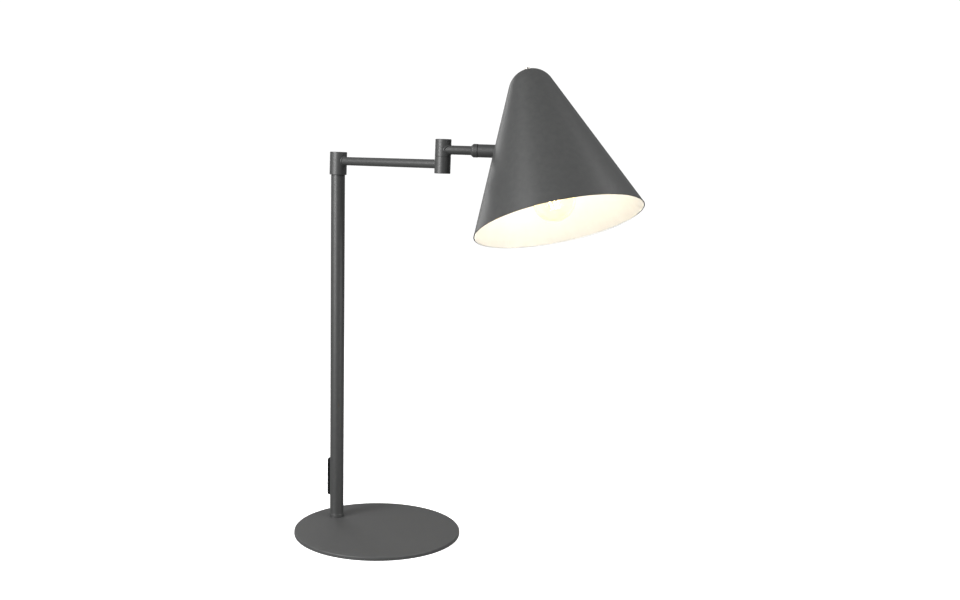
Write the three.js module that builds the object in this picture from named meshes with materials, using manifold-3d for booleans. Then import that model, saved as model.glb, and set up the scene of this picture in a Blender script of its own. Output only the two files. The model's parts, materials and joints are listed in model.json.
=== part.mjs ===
// Architect desk lamp: round base, upright post, two horizontal arms with a swivel and an elbow,
// and a conical metal shade that turns about the second arm. Millimetres, +Z up.
// The origin is the centre of the base's underside. +X runs from the post towards the base centre.

import * as THREE from "three";
import { mergeVertices } from "three/addons/utils/BufferGeometryUtils.js";
import Module from "manifold-3d";

const wasm = await Module();
wasm.setup();

// ---------------------------------------------------------------- driving dimensions
const BASE = { radius: 100, padTop: 1.2, rimBottom: 0.15, top: 4.4, rimWidth: 5, edge: 1 };
const POST = { offset: 69, radius: 8.5, wall: 1, top: 430.7 };
const FOOT = { radius: 9.1, collarTop: 8.5, plugTop: 14.7, screwRadius: 3, headRadius: 5.6 };
const DOWEL = { radius: 1.2, out: 7, up: 1.8 }; // keeps the post from turning on the base
const GLAND = { turn: -45, z: 21.2, radius: 3.6, bore: 2.2, flangeRadius: 4.8, flange: 0.9 };
const SWITCH = { low: 30.4, high: 78.2, width: 11, face: 12, corner: 2, inner: 3, neckWidth: 9 };
const ROCKER = { length: 22, width: 6.4, pivotOut: 10.4, tilt: 5, rise: 1.6, depth: 1.9,
  pin: 0.95, pinHalf: 4 };
const TERMINAL = { apart: 12, width: 3, thickness: 0.8, length: 4.6, out: 1.6 };
const SPIGOT = { radius: 6, height: 11, bore: 2.8, grooveRadius: 4.4, grooveLow: 3.8, grooveHigh: 7.6 };
const SWIVEL = { radius: 10.4, skirt: 0.35, low: 1.1, recess: 8.4, high: 27.9,
  bore: 6.5, roof: 2.6, screwZ: 5.7 };
const ARM = { radius: 5, wall: 1, firstZ: 17, secondZ: 32.8, firstLength: 163,
  secondLength: 112.7, offset: 3.6 };
const ELBOW = { radius: 9, low: 6.5, seam: 25.1, high: 44.6, bore: 6.5, web: 2.6, plug: 1.8 };
const PIVOT = { radius: 4, bore: 2.4, clearance: 0.15, headRadius: 5.9, nutFlats: 10 };
const STOP = { radius: 5.7, pinRadius: 0.8, slotHalf: 1, depth: 1.7, spare: 12 };
const COLLAR = { radius: 7.45, start: 32.5, end: 39.9, chamfer: 2.4 };
const SLEEVE = { radius: 7.2, start: 40.5, end: 66, web: 2.8, bore: 6.2 };
const SHADE = { rimRadius: 92.2, halfAngle: 22.97, drop: 79.95, domeRadius: 26, wall: 1.2 };
const VENT = { count: 6, radius: 1.2, ring: 5.4 };
const HOLDER = { radius: 13.5, low: -28, high: 6, web: 11, bore: 9.4,
  capTop: 19, entry: 3.5, rodRadius: 3.5 };
const BULB = { centre: -55, radius: 22.5, glass: 0.8, neck: 5.8, capRadius: 6.9, capTop: -9, capDrop: 24 };
const FILAMENT = { radius: 0.8, half: 11, tilt: 18, out: 6, up: 2 };
const CROWN_SCREW = { headRadius: 3, head: 2.3, radius: 1.8, length: 12, slotWidth: 0.8, slotDepth: 0.8 };
const LEAD = 1.3; // radius of the lamp's inner lead
const GAP = 0.3; // clearance between neighbouring pieces
const FIT = 0.05; // clearance of a close fit
const TOUCH = 0.1; // clearance between two faces that bear on each other

// ---------------------------------------------------------------- angles, degrees
const SAG = 1.6; // play in the swivel lets the arms droop
const ELBOW_BEND = 27.3; // second arm from the line of the first
const SHADE_ROLL = 15.9; // shade turned about the second arm from hanging straight down
const SHADE_LEAN = 15.2; // shade axis from the perpendicular to the arm, a fixed angle
const ELBOW_SWING = 100; // either way from straight
const SHADE_SWING = 100; // either way from straight down; a stop slot runs STOP.spare further

const rad = THREE.MathUtils.degToRad;

// ---------------------------------------------------------------- materials
const finish = (color, roughness, metalness, extra = {}) => ({ color, roughness, metalness, ...extra });
const COAT = finish("#4b4c4b", 0.72, 0.25);
const STEEL = finish("#a9abad", 0.35, 0.9);
const BRASS = finish("#b89a55", 0.35, 0.9);
const RUBBER = finish("#1c1c1d", 0.9, 0);
const PLASTIC = finish("#141414", 0.45, 0);
const PHENOLIC = finish("#e9e5dc", 0.5, 0);
const NYLON = finish("#2a2a2a", 0.6, 0);
const GLASS = finish("#ffffff", 0.05, 0, { transparent: true, opacity: 0.35 });
const GLOW = finish("#ffd9a0", 0.4, 0, { emissive: "#ffb765" });

// ---------------------------------------------------------------- solids
function solid(geometry) {
  const bare = geometry.clone();
  bare.deleteAttribute("normal");
  bare.deleteAttribute("uv");
  const merged = mergeVertices(bare, 1e-4);
  const p = merged.attributes.position.array;
  const corner = (i) => new THREE.Vector3(p[3 * i], p[3 * i + 1], p[3 * i + 2]);
  const faces = [];
  let volume = 0;
  for (let t = 0; t < merged.index.count; t += 3) {
    const [a, b, c] = merged.index.array.slice(t, t + 3);
    if (a === b || b === c || c === a) continue;
    faces.push([a, b, c]);
    volume += corner(a).dot(corner(b).cross(corner(c)));
  }
  if (volume < 0) faces.forEach((face) => face.reverse());
  const triVerts = new Uint32Array(faces.flat());
  return new wasm.Manifold(new wasm.Mesh({ numProp: 3, vertProperties: p, triVerts }));
}

function mesh(name, shape, look) {
  const { vertProperties, triVerts } = shape.getMesh();
  const geometry = new THREE.BufferGeometry();
  geometry.setAttribute("position", new THREE.BufferAttribute(new Float32Array(vertProperties), 3));
  geometry.setIndex(new THREE.BufferAttribute(new Uint32Array(triVerts), 1));
  geometry.computeVertexNormals();
  const made = new THREE.Mesh(geometry, new THREE.MeshStandardMaterial(look));
  made.name = name;
  return made;
}

// A solid turned about +Z from [radius, height] points: closed on the axis, or on itself.
function turned(points, segments = 24) {
  const onAxis = points[0][0] === 0 && points.at(-1)[0] === 0;
  const ring = onAxis ? points : [...points, points[0]];
  const profile = ring.map(([r, z]) => new THREE.Vector2(r, z));
  return solid(new THREE.LatheGeometry(profile, segments).rotateX(Math.PI / 2));
}

const rod = (radius, low, high, segments = 24) =>
  turned([[0, low], [radius, low], [radius, high], [0, high]], segments);

const ring = (inner, outer, low, high, segments = 24) =>
  turned([[inner, low], [outer, low], [outer, high], [inner, high]], segments);

function prism(shape, low, high, curveSegments = 6) {
  const settings = { depth: high - low, bevelEnabled: false, curveSegments };
  return solid(new THREE.ExtrudeGeometry(shape, settings).translate(0, 0, low));
}

function hexagon(flats) {
  const corner = (i) => [(flats / Math.sqrt(3)) * Math.cos((i * Math.PI) / 3),
    (flats / Math.sqrt(3)) * Math.sin((i * Math.PI) / 3)];
  const shape = new THREE.Shape();
  shape.moveTo(...corner(0));
  for (let i = 1; i < 6; i += 1) shape.lineTo(...corner(i));
  return shape;
}

const hexNut = (flats, bore, low, high) =>
  prism(hexagon(flats), low, high).subtract(rod(bore, low - 1, high + 1));

// Part of a ring between two angles in degrees, counted from +X towards +Y.
function arcSlot(middle, half, from, to, low, high) {
  const shape = new THREE.Shape();
  shape.absarc(0, 0, middle + half, rad(from), rad(to), false);
  shape.absarc(0, 0, middle - half, rad(to), rad(from), true);
  return prism(shape, low, high, 14);
}

const block = (x, y, z, centre) => solid(new THREE.BoxGeometry(x, y, z).translate(...centre));

// Turns a solid made about +Z so that its axis runs along +X.
const alongX = (shape) => shape.rotate([0, 90, 0]);

// A round lead along smooth points.
function lead(points, steps, radius = LEAD) {
  const path = new THREE.CatmullRomCurve3(points.map((p) => new THREE.Vector3(...p)), false, "centripetal");
  const section = new THREE.Shape().absarc(0, 0, radius, 0, 2 * Math.PI, false);
  const settings = { steps, extrudePath: path, curveSegments: 4, bevelEnabled: false };
  return solid(new THREE.ExtrudeGeometry(section, settings));
}

// ---------------------------------------------------------------- base and post
function basePieces() {
  const { radius, padTop, rimBottom, top, rimWidth, edge } = BASE;
  const rounding = [0, 45, 90].map((a) =>
    [radius - edge + edge * Math.cos(rad(a)), top - edge + edge * Math.sin(rad(a))]);
  const outline = [[0, padTop], [radius - rimWidth, padTop], [radius - rimWidth, rimBottom],
    [radius - edge / 2, rimBottom], [radius, rimBottom + edge / 2], ...rounding, [0, top]];
  const { screwRadius, headRadius } = FOOT;
  const countersink = turned([[0, 0], [headRadius + GAP, 0], [headRadius + GAP, padTop + 0.2],
    [screwRadius + GAP, top - 0.2], [screwRadius + GAP, top + 1], [0, top + 1]]);
  const plate = turned(outline, 64).subtract(countersink.translate(-POST.offset, 0, 0))
    .subtract(rod(DOWEL.radius + GAP, 0, top + 1, 12).translate(-POST.offset + DOWEL.out, 0, 0));
  return [
    mesh("base_plate", plate, COAT),
    mesh("base_pad", rod(radius - rimWidth - GAP, 0, padTop, 64), RUBBER),
  ];
}

function footPieces() {
  const inner = POST.radius - POST.wall;
  const { radius, collarTop, plugTop, screwRadius, headRadius } = FOOT;
  const seat = BASE.top;
  const foot = turned([[0, seat], [radius - 0.2, seat], [radius, seat + 0.5], [radius, collarTop - 0.6],
    [radius - 0.6, collarTop], [inner - FIT, collarTop], [inner - FIT, plugTop], [0, plugTop]])
    .subtract(rod(screwRadius + FIT, 0, plugTop - 2))
    .subtract(rod(DOWEL.radius + TOUCH, 0, seat + DOWEL.up + 0.2, 12).translate(DOWEL.out, 0, 0));
  const screw = turned([[0, BASE.padTop + TOUCH], [headRadius, BASE.padTop + TOUCH],
    [headRadius, BASE.padTop + 0.3], [screwRadius, seat - 0.2], [screwRadius, plugTop - 3],
    [0, plugTop - 3]]);
  return [
    mesh("post_foot", foot, COAT),
    mesh("foot_screw", screw, STEEL),
    mesh("foot_dowel", rod(DOWEL.radius, BASE.padTop + TOUCH, seat + DOWEL.up, 12)
      .translate(DOWEL.out, 0, 0), STEEL),
  ];
}

function postPieces() {
  const inner = POST.radius - POST.wall;
  const slotHeight = SWITCH.high - SWITCH.low - 4;
  const slot = block(8, SWITCH.neckWidth + 2 * GAP, slotHeight,
    [-POST.radius, 0, (SWITCH.low + SWITCH.high) / 2]);
  const glandHole = alongX(rod(GLAND.radius + FIT, -12, 0)).rotate([0, 0, GLAND.turn])
    .translate(0, 0, GLAND.z);
  const tube = ring(inner, POST.radius, FOOT.collarTop, POST.top, 40).subtract(slot).subtract(glandHole);

  const { radius, height, bore, grooveRadius, grooveLow, grooveHigh } = SPIGOT;
  const stopRib = block(4, 2.4, 12, [radius, 0, POST.top + 6]);
  const groove = ring(grooveRadius, radius + 1, POST.top + grooveLow, POST.top + grooveHigh);
  const bush = turned([[bore, POST.top - 18], [inner - FIT, POST.top - 18], [inner - FIT, POST.top],
    [radius, POST.top], [radius, POST.top + height - 0.6], [radius - 0.6, POST.top + height],
    [bore, POST.top + height]], 40).subtract(groove.subtract(stopRib));
  return [
    mesh("post_tube", tube, COAT),
    mesh("post_bush", bush, STEEL),
    mesh("swivel_washer", ring(radius + FIT, POST.radius - 0.4, POST.top, POST.top + 0.7, 40), NYLON),
  ];
}

function cordGland() {
  const { radius, bore, flangeRadius, flange, z } = GLAND;
  const sleeve = ring(bore, radius, 5.9, POST.radius + flange);
  const outer = ring(bore, flangeRadius, 4, POST.radius + flange).subtract(rod(POST.radius + FIT, -9, 9, 40)
    .rotate([0, 90, 0]));
  return mesh("cord_gland", sleeve.add(outer).rotate([0, -90, GLAND.turn]).translate(0, 0, z), RUBBER);
}

// A block with rounded ends, long in Z, between two distances out from the post's axis.
function pill(length, width, near, far) {
  const shape = new THREE.Shape();
  const corner = width / 2 - SWITCH.corner;
  const half = length / 2 - corner;
  shape.absarc(half, width / 2 - corner, corner, 0, Math.PI / 2, false);
  shape.absarc(-half, width / 2 - corner, corner, Math.PI / 2, Math.PI, false);
  shape.absarc(-half, -width / 2 + corner, corner, Math.PI, 1.5 * Math.PI, false);
  shape.absarc(half, -width / 2 + corner, corner, 1.5 * Math.PI, 2 * Math.PI, false);
  return prism(shape, near, far).rotate([0, -90, 0]);
}

function switchPieces() {
  const middle = (SWITCH.low + SWITCH.high) / 2;
  const length = SWITCH.high - SWITCH.low;
  const { width, face, inner, neckWidth } = SWITCH;
  const { length: rockerLength, width: rockerWidth, pivotOut, tilt, rise, depth, pin, pinHalf } = ROCKER;
  const bezel = pill(length, width, inner, face).subtract(rod(POST.radius + FIT, -40, 40, 40));
  const neck = block(8.2, neckWidth, length - 5, [-5.1, 0, 0]);
  const window = block(4.6, rockerWidth + 0.8, rockerLength + 0.8, [-face + 1.8, 0, 0])
    .add(rod(pin + 0.15, -pinHalf - TOUCH, pinHalf + TOUCH, 12).rotate([90, 0, 0])
      .translate(-pivotOut, 0, 0));
  const hole = (z) => block(6, TERMINAL.width + 2 * GAP, TERMINAL.thickness + 2 * GAP, [-2, 0, z]);
  const terminalHole = hole(TERMINAL.apart).add(hole(-TERMINAL.apart));
  const housing = bezel.add(neck).subtract(window).subtract(terminalHole);

  const half = rockerLength / 2;
  const key = new THREE.Shape();
  key.moveTo(-half, rise + half * Math.tan(rad(tilt)));
  key.lineTo(-half, -0.5);
  key.lineTo(-half / 3, -depth + 0.3);
  key.lineTo(half / 3, -depth + 0.3);
  key.lineTo(half, -0.5);
  key.lineTo(half, rise + half * Math.tan(rad(tilt)));
  key.lineTo(0, rise);
  const rocker = prism(key, -rockerWidth / 2, rockerWidth / 2).add(rod(pin, -pinHalf, pinHalf, 12))
    .rotate([90, 0, 0]).rotate([0, tilt - 90, 0]).translate(-pivotOut, 0, middle);
  const { apart, width: across, thickness, length: blade, out } = TERMINAL;
  const terminal = (z) => block(blade, across, thickness, [-out, 0, middle + z]);
  return [
    mesh("switch_housing", housing.translate(0, 0, middle), PLASTIC),
    mesh("switch_terminal_upper", terminal(apart), BRASS),
    mesh("switch_terminal_lower", terminal(-apart), BRASS),
    mesh("switch_rocker", rocker, PLASTIC),
  ];
}

function postLeads() {
  const middle = (SWITCH.low + SWITCH.high) / 2;
  const aside = 2.1;
  const turn = rad(GLAND.turn);
  const inward = (out, rise) => [-out * Math.cos(turn), -out * Math.sin(turn), GLAND.z + rise];
  const inlet = [inward(7.4, 0), inward(3, 0.4), [0.6, 0, GLAND.z + 4], [aside, 0, GLAND.z + 10],
    [aside, 0, middle - TERMINAL.apart]];
  const riser = [[aside, 0, middle + TERMINAL.apart], [aside, 0, middle + 30], [0, 0, middle + 50],
    [0, 0, POST.top + SPIGOT.height - 1]];
  return [mesh("lead_inlet", lead(inlet, 10), RUBBER), mesh("lead_post", lead(riser, 12), RUBBER)];
}

// ---------------------------------------------------------------- first arm, from the post's top
function firstArm() {
  const { radius, skirt, low, recess, high, bore, roof, screwZ } = SWIVEL;
  const tubeHole = alongX(rod(ARM.radius - ARM.wall, 0, 40)).translate(0, 0, ARM.firstZ);
  const screwHole = alongX(rod(1.6, -12, 0, 12)).translate(0, 0, screwZ);
  const cap = turned([[bore, low], [recess, low], [recess, skirt], [radius, skirt], [radius, high - 0.5],
    [radius - 0.5, high], [0, high], [0, high - roof], [bore, high - roof]], 32);
  const screw = alongX(rod(1.5, -(radius - 0.4), -6.6, 12).add(rod(1.1, -7, -5.2, 12)))
    .translate(0, 0, screwZ);
  const coped = (x, cutRadius) => rod(cutRadius + GAP, -10, 60, 32).translate(x, 0, 0);
  const tube = alongX(ring(ARM.radius - ARM.wall, ARM.radius, 0, ARM.firstLength, 24))
    .translate(0, 0, ARM.firstZ).subtract(coped(0, radius)).subtract(coped(ARM.firstLength, ELBOW.radius));
  const { firstZ: z, firstLength: length } = ARM;
  const path = [[0, 0, SPIGOT.height - 0.4], [0.2, 0, SPIGOT.height + 2.4], [2.2, 0, z - 0.7], [6, 0, z],
    [30, 0, z], [length - 8, 0, z], [length - 2.8, 0, z + 0.3], [length - 0.3, 0, z + 2.7],
    [length, 0, z + 5], [length, 0, ELBOW.seam - 0.3]];
  return [
    mesh("swivel_cap", cap.subtract(tubeHole).subtract(screwHole), COAT),
    mesh("swivel_screw", screw, STEEL),
    mesh("arm_1_tube", tube, COAT),
    mesh("lead_arm_1", lead(path, 26), RUBBER),
  ];
}

// One half of the elbow as a cup whose web faces the other half, about its own axis.
function elbowCup(webLow, webHigh, mouth, armZ, armAngle, armOffset = 0) {
  const { radius, bore } = ELBOW;
  const low = Math.min(webLow, mouth);
  const high = Math.max(webHigh, mouth);
  const chamber = webLow === low ? rod(bore, webHigh, high + 1, 24) : rod(bore, low - 1, webLow, 24);
  const edge = 0.5;
  const body = turned([[0, low], [radius - edge, low], [radius, low + edge], [radius, high - edge],
    [radius - edge, high], [0, high]], 32);
  const armHole = alongX(rod(ARM.radius - ARM.wall, 0, 40)).translate(0, -armOffset, armZ)
    .rotate([0, 0, armAngle]);
  return body.subtract(chamber).subtract(rod(PIVOT.radius + PIVOT.clearance, low - 1, high + 1, 24))
    .subtract(armHole);
}

function elbowFixed() {
  const { low, seam, bore, web, plug } = ELBOW;
  const { radius, bore: wire, headRadius, nutFlats } = PIVOT;
  const webLow = seam - web;
  const pinHole = rod(STOP.pinRadius + TOUCH, webLow - 1, seam + 1, 12).translate(-STOP.radius, 0, 0);
  const cup = elbowCup(webLow, seam, low, ARM.firstZ, 180).subtract(pinHole);
  const pivotTop = seam + GAP + web + 3.6;
  const pivot = turned([[wire, webLow - 1.8], [headRadius, webLow - 1.8], [headRadius, webLow - GAP],
    [radius, webLow - GAP], [radius, pivotTop], [wire, pivotTop]]);
  const nutLow = seam + GAP + web + 1.1;
  return [
    mesh("elbow_lower", cup, COAT),
    mesh("elbow_lower_plug", rod(bore - FIT, low + GAP, low + plug), COAT),
    mesh("elbow_pivot", pivot, STEEL),
    mesh("elbow_stop_pin", rod(STOP.pinRadius, webLow + 0.2, seam + GAP + STOP.depth - 0.4, 12)
      .translate(-STOP.radius, 0, 0), STEEL),
    mesh("elbow_washer", ring(radius + TOUCH, headRadius, nutLow - 0.8, nutLow - TOUCH), STEEL),
    mesh("elbow_nut", hexNut(nutFlats, radius + FIT, nutLow, nutLow + 2.3), STEEL),
  ];
}

// ---------------------------------------------------------------- second arm, from the elbow's axis
function secondArm() {
  const { seam, high, bore, web, plug } = ELBOW;
  const { radius: end, start, end: face, chamfer } = COLLAR;
  const webLow = seam + GAP;
  const reach = ELBOW_SWING + STOP.spare;
  const slot = arcSlot(STOP.radius, STOP.slotHalf, 180 - reach, 180 + reach, webLow - 1, webLow + STOP.depth);
  const { offset, secondZ: z } = ARM;
  const cup = elbowCup(webLow, webLow + web, high, z, 0, offset).subtract(slot);
  const tube = alongX(ring(ARM.radius - ARM.wall, ARM.radius, 0, start + 0.5, 24))
    .translate(0, -offset, z).subtract(rod(ELBOW.radius + GAP, 0, 60, 32));
  const { radius, bore: wire, headRadius, nutFlats } = PIVOT;
  const socket = start + chamfer + 1;
  const collar = turned([[ARM.radius + FIT, start], [ARM.radius + 0.4, start], [end, start + chamfer],
    [end, face], [radius + FIT, face], [radius + FIT, start + 0.8], [ARM.radius + FIT, start + 0.8]]);
  const pivot = ring(wire, radius, socket - 2.2, SLEEVE.start + SLEEVE.web + 4.6);
  const nutLow = SLEEVE.start + SLEEVE.web + 1.1;
  const pin = rod(STOP.pinRadius, face - 2.6, SLEEVE.start + STOP.depth - 0.4, 12)
    .translate(STOP.radius, 0, 0);
  const pinHole = rod(STOP.pinRadius + TOUCH, face - 2.8, face + 1, 12).translate(STOP.radius, 0, 0);
  const place = (shape) => alongX(shape).translate(0, -offset, z);
  const path = [[0, 0, seam + 0.1], [0, 0, z - 1.8], [0.7, -0.5, z + 0.3], [2.8, -1.8, z + 1.2],
    [5.6, -2.9, z + 1], [10, -offset, z + 0.2], [15, -offset, z], [SLEEVE.start + 6.6, -offset, z]];
  return [
    mesh("elbow_upper", cup, COAT),
    mesh("elbow_upper_plug", rod(bore - FIT, high - plug, high - GAP), COAT),
    mesh("arm_2_tube", tube, COAT),
    mesh("arm_collar", place(collar.subtract(pinHole)), COAT),
    mesh("shade_pivot", place(pivot), STEEL),
    mesh("shade_stop_pin", place(pin), STEEL),
    mesh("shade_washer", place(ring(radius + TOUCH, headRadius, nutLow - 0.8, nutLow - TOUCH)), STEEL),
    mesh("shade_nut", place(hexNut(nutFlats, radius + FIT, nutLow, nutLow + 2.6)), STEEL),
    mesh("lead_arm_2", lead(path, 18), RUBBER),
  ];
}

// ---------------------------------------------------------------- shade, from where its axis meets the arm's
const coneSlope = Math.tan(rad(SHADE.halfAngle));
const coneTip = SHADE.rimRadius / coneSlope - SHADE.drop;

// Outline of a cone with a round top whose wall is inset from the outside by a distance.
function conePoints(inset, steps = 6) {
  const centre = coneTip - SHADE.domeRadius / Math.sin(rad(SHADE.halfAngle));
  const radius = SHADE.domeRadius - inset;
  const arc = Array.from({ length: steps }, (_, i) => {
    const angle = rad(SHADE.halfAngle + ((90 - SHADE.halfAngle) * i) / (steps - 1));
    return [radius * Math.cos(angle), centre + radius * Math.sin(angle)];
  });
  arc[steps - 1][0] = 0;
  const rim = SHADE.rimRadius - inset / Math.cos(rad(SHADE.halfAngle));
  return [[rim, -SHADE.drop], ...arc];
}

function shadeShell() {
  let shell = turned([...conePoints(SHADE.wall).reverse(), ...conePoints(0)], 48);
  const entry = alongX(rod(SLEEVE.radius + GAP, -80, -25, 32)).rotate([0, SHADE_LEAN, 0]);
  shell = shell.subtract(entry).subtract(rod(2.2, coneTip - 60, coneTip, 16));
  for (let i = 0; i < VENT.count; i += 1) {
    const vent = rod(VENT.radius, coneTip - 60, coneTip, 8).translate(VENT.ring, 0, 0);
    shell = shell.subtract(vent.rotate([0, 0, (360 * (i + 0.5)) / VENT.count]));
  }
  return mesh("shade_shell", shell, COAT);
}

function hangerPieces() {
  const crown = conePoints(0).at(-1)[1];
  const roof = crown - SHADE.wall - GAP;
  const { headRadius, head, radius, length, slotWidth, slotDepth } = CROWN_SCREW;
  const rodBody = rod(HOLDER.rodRadius, HOLDER.capTop - 6, roof - 0.2)
    .subtract(rod(radius + 0.15, roof - length - 4, roof, 16));
  const headTop = crown + TOUCH + head;
  const screw = rod(headRadius, crown + TOUCH, headTop).add(rod(radius, roof - length, crown + 0.2, 16))
    .subtract(block(3 * headRadius, slotWidth, 2 * slotDepth, [0, 0, headTop]));
  return [mesh("hanger_rod", rodBody, STEEL), mesh("apex_screw", screw, STEEL)];
}

function lampholderPieces() {
  const { radius, low, high, web, bore, capTop, entry, rodRadius } = HOLDER;
  const webLow = high - web;
  const body = turned([[bore, low], [radius - 0.6, low], [radius, low + 0.6], [radius, high - TOUCH],
    [3, high - TOUCH], [3, webLow], [bore, webLow]]);
  const cap = turned([[0, high + TOUCH], [radius, high + TOUCH],
    [radius, high + 5], [radius - 2.5, capTop - 3],
    [radius - 5.5, capTop], [0, capTop]])
    .subtract(rod(rodRadius + FIT, capTop - 6.1, capTop + 1))
    .subtract(rod(LEAD + 0.6, -20, 0, 12).rotate([0, 90, 0]).translate(0, 0, high + entry));
  const thread = turned(threadProfile(BULB.capRadius + 0.5, low + 4, webLow - 2, 0.5), 20);
  const contact = block(10, 3, 0.6, [0, 0, webLow - 0.4]).add(block(3, 3, 1.6, [0, 0, webLow - 0.9]));
  return [
    mesh("lampholder_body", body, PHENOLIC),
    mesh("lampholder_cap", cap, PHENOLIC),
    mesh("lampholder_shell", thread, BRASS),
    mesh("lampholder_contact", contact, BRASS),
  ];
}

// A thin wall with rounded rings along it, as a screw shell has.
function threadProfile(radius, low, high, wall) {
  const steps = 2 * Math.round((high - low) / 5.6);
  const wave = Array.from({ length: steps + 1 }, (_, i) =>
    [radius + (i % 2 ? 0.35 : 0), low + ((high - low) * i) / steps]);
  const back = wave.map(([r, z]) => [r + wall, z]).reverse();
  return [...wave, ...back];
}

function bulbPieces() {
  const { centre, radius, glass, neck, capRadius, capTop } = BULB;
  const capLow = centre + BULB.capDrop;
  const bubble = (r, n, top) => {
    const last = Math.asin(n / r) + 0.35;
    const arc = Array.from({ length: 9 }, (_, i) => {
      const angle = Math.PI - ((Math.PI - last) * i) / 8;
      return [r * Math.sin(angle), centre + r * Math.cos(angle)];
    });
    arc[0][0] = 0;
    return [...arc, [n, capLow + 1], [n, top]];
  };
  const inside = bubble(radius - glass, neck - glass, capLow + 6).reverse();
  const bulb = turned([...bubble(radius, neck, capLow + 6), ...inside]);
  const skirt = ring(neck + 0.25, capRadius + 0.9, capLow + 1.6, capLow + 4, 20);
  const wall = turned(threadProfile(capRadius - 0.75, capLow + 3.6, capTop - 2.5, 0.4), 20);
  const crown = turned([[0, capTop - 3], [capRadius - 0.4, capTop - 3], [2.6, capTop], [0, capTop]], 20);
  const stem = turned([[0, centre - 4], [1.2, centre - 4], [1.2, centre + 10], [4.6, capLow + 5],
    [4.6, capLow + 7], [0, capLow + 7]], 16);
  const { radius: thick, half, tilt, out, up } = FILAMENT;
  const filament = (angle) => rod(thick, -half, half, 8).rotate([0, tilt, 0]).translate(out, 0, centre + up)
    .rotate([0, 0, angle]);
  return [
    mesh("bulb_glass", bulb, GLASS),
    mesh("bulb_cap", skirt.add(wall).add(crown), BRASS),
    mesh("bulb_contact", rod(2.2, capTop + TOUCH, capTop + 1.2, 16), BRASS),
    mesh("bulb_stem", stem, GLASS),
    ...[0, 90, 180, 270].map((angle, i) => mesh(`bulb_filament_${i + 1}`, filament(angle), GLOW)),
  ];
}

function sleevePieces() {
  const { radius, start, end, web, bore } = SLEEVE;
  const reach = SHADE_SWING + STOP.spare;
  const slot = arcSlot(STOP.radius, STOP.slotHalf, -reach, reach, start - 1, start + STOP.depth);
  const sleeve = turned([[PIVOT.radius + PIVOT.clearance, start], [radius - 0.3, start],
    [radius, start + 0.3], [radius, end], [bore, end], [bore, start + web],
    [PIVOT.radius + PIVOT.clearance, start + web]]).subtract(slot);
  const origin = -ARM.secondLength;
  return [
    mesh("shade_sleeve", alongX(sleeve).translate(origin, 0, 0), COAT),
    mesh("groove_washer", alongX(ring(PIVOT.radius + 0.15, 4.85, COLLAR.end + 0.15, start - 0.15))
      .translate(origin, 0, 0), NYLON),
  ];
}

// The lead from the sleeve to the lampholder, about the shade's own axis.
function shadeLead() {
  const onArm = (d) => [d * Math.cos(rad(SHADE_LEAN)), 0, -d * Math.sin(rad(SHADE_LEAN))];
  const start = SLEEVE.start - ARM.secondLength + 7.2;
  const z = HOLDER.high + HOLDER.entry;
  return mesh("lead_shade", lead([onArm(start), onArm(start + 10), onArm(start + 18), [-34, 0, z + 1.4],
    [-24, 0, z + 0.3], [-9, 0, z]], 12), RUBBER);
}

// ---------------------------------------------------------------- assembly
const group = (pieces, place = () => {}) => {
  const made = new THREE.Group();
  made.add(...pieces);
  place(made);
  return made;
};

const cone = group(
  [shadeShell(), ...hangerPieces(), ...lampholderPieces(), ...bulbPieces(), shadeLead()],
  (g) => g.rotation.set(0, -rad(SHADE_LEAN), 0),
);

const shade = group([...sleevePieces(), cone], (g) => {
  g.position.set(ARM.secondLength, -ARM.offset, ARM.secondZ);
  g.rotation.set(-rad(SHADE_ROLL), 0, 0);
});

const armTwo = group([...secondArm(), shade], (g) => {
  g.position.set(ARM.firstLength, 0, 0);
  g.rotation.set(0, 0, rad(ELBOW_BEND));
});

const elbow = group(elbowFixed(), (g) => g.position.set(ARM.firstLength, 0, 0));

const armOne = group([...firstArm(), elbow, armTwo], (g) => {
  g.position.set(0, 0, POST.top);
  g.rotation.set(0, rad(SAG), 0);
});

const upright = group(
  [...footPieces(), ...postPieces(), cordGland(), ...switchPieces(), ...postLeads(), armOne],
  (g) => g.position.set(-POST.offset, 0, 0),
);

const lamp = group([...basePieces(), upright]);
lamp.name = "architect_desk_lamp";

export default lamp;
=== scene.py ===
"""Finished look of an architect desk lamp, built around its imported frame.

The frame gives the places, the sizes and the moving bodies. Each sub-assembly below is a class
that builds its visible pieces from fine turned, swept and cut meshes, and dresses the frame's own
small parts. Lengths in the classes are millimetres; Blender's unit is the metre.
"""

import json
import logging
import math
from collections.abc import Callable, Sequence
from dataclasses import dataclass, field
from enum import Enum
from typing import ClassVar

import bmesh
import bpy
import numpy as np
from mathutils import Matrix, Vector

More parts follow.
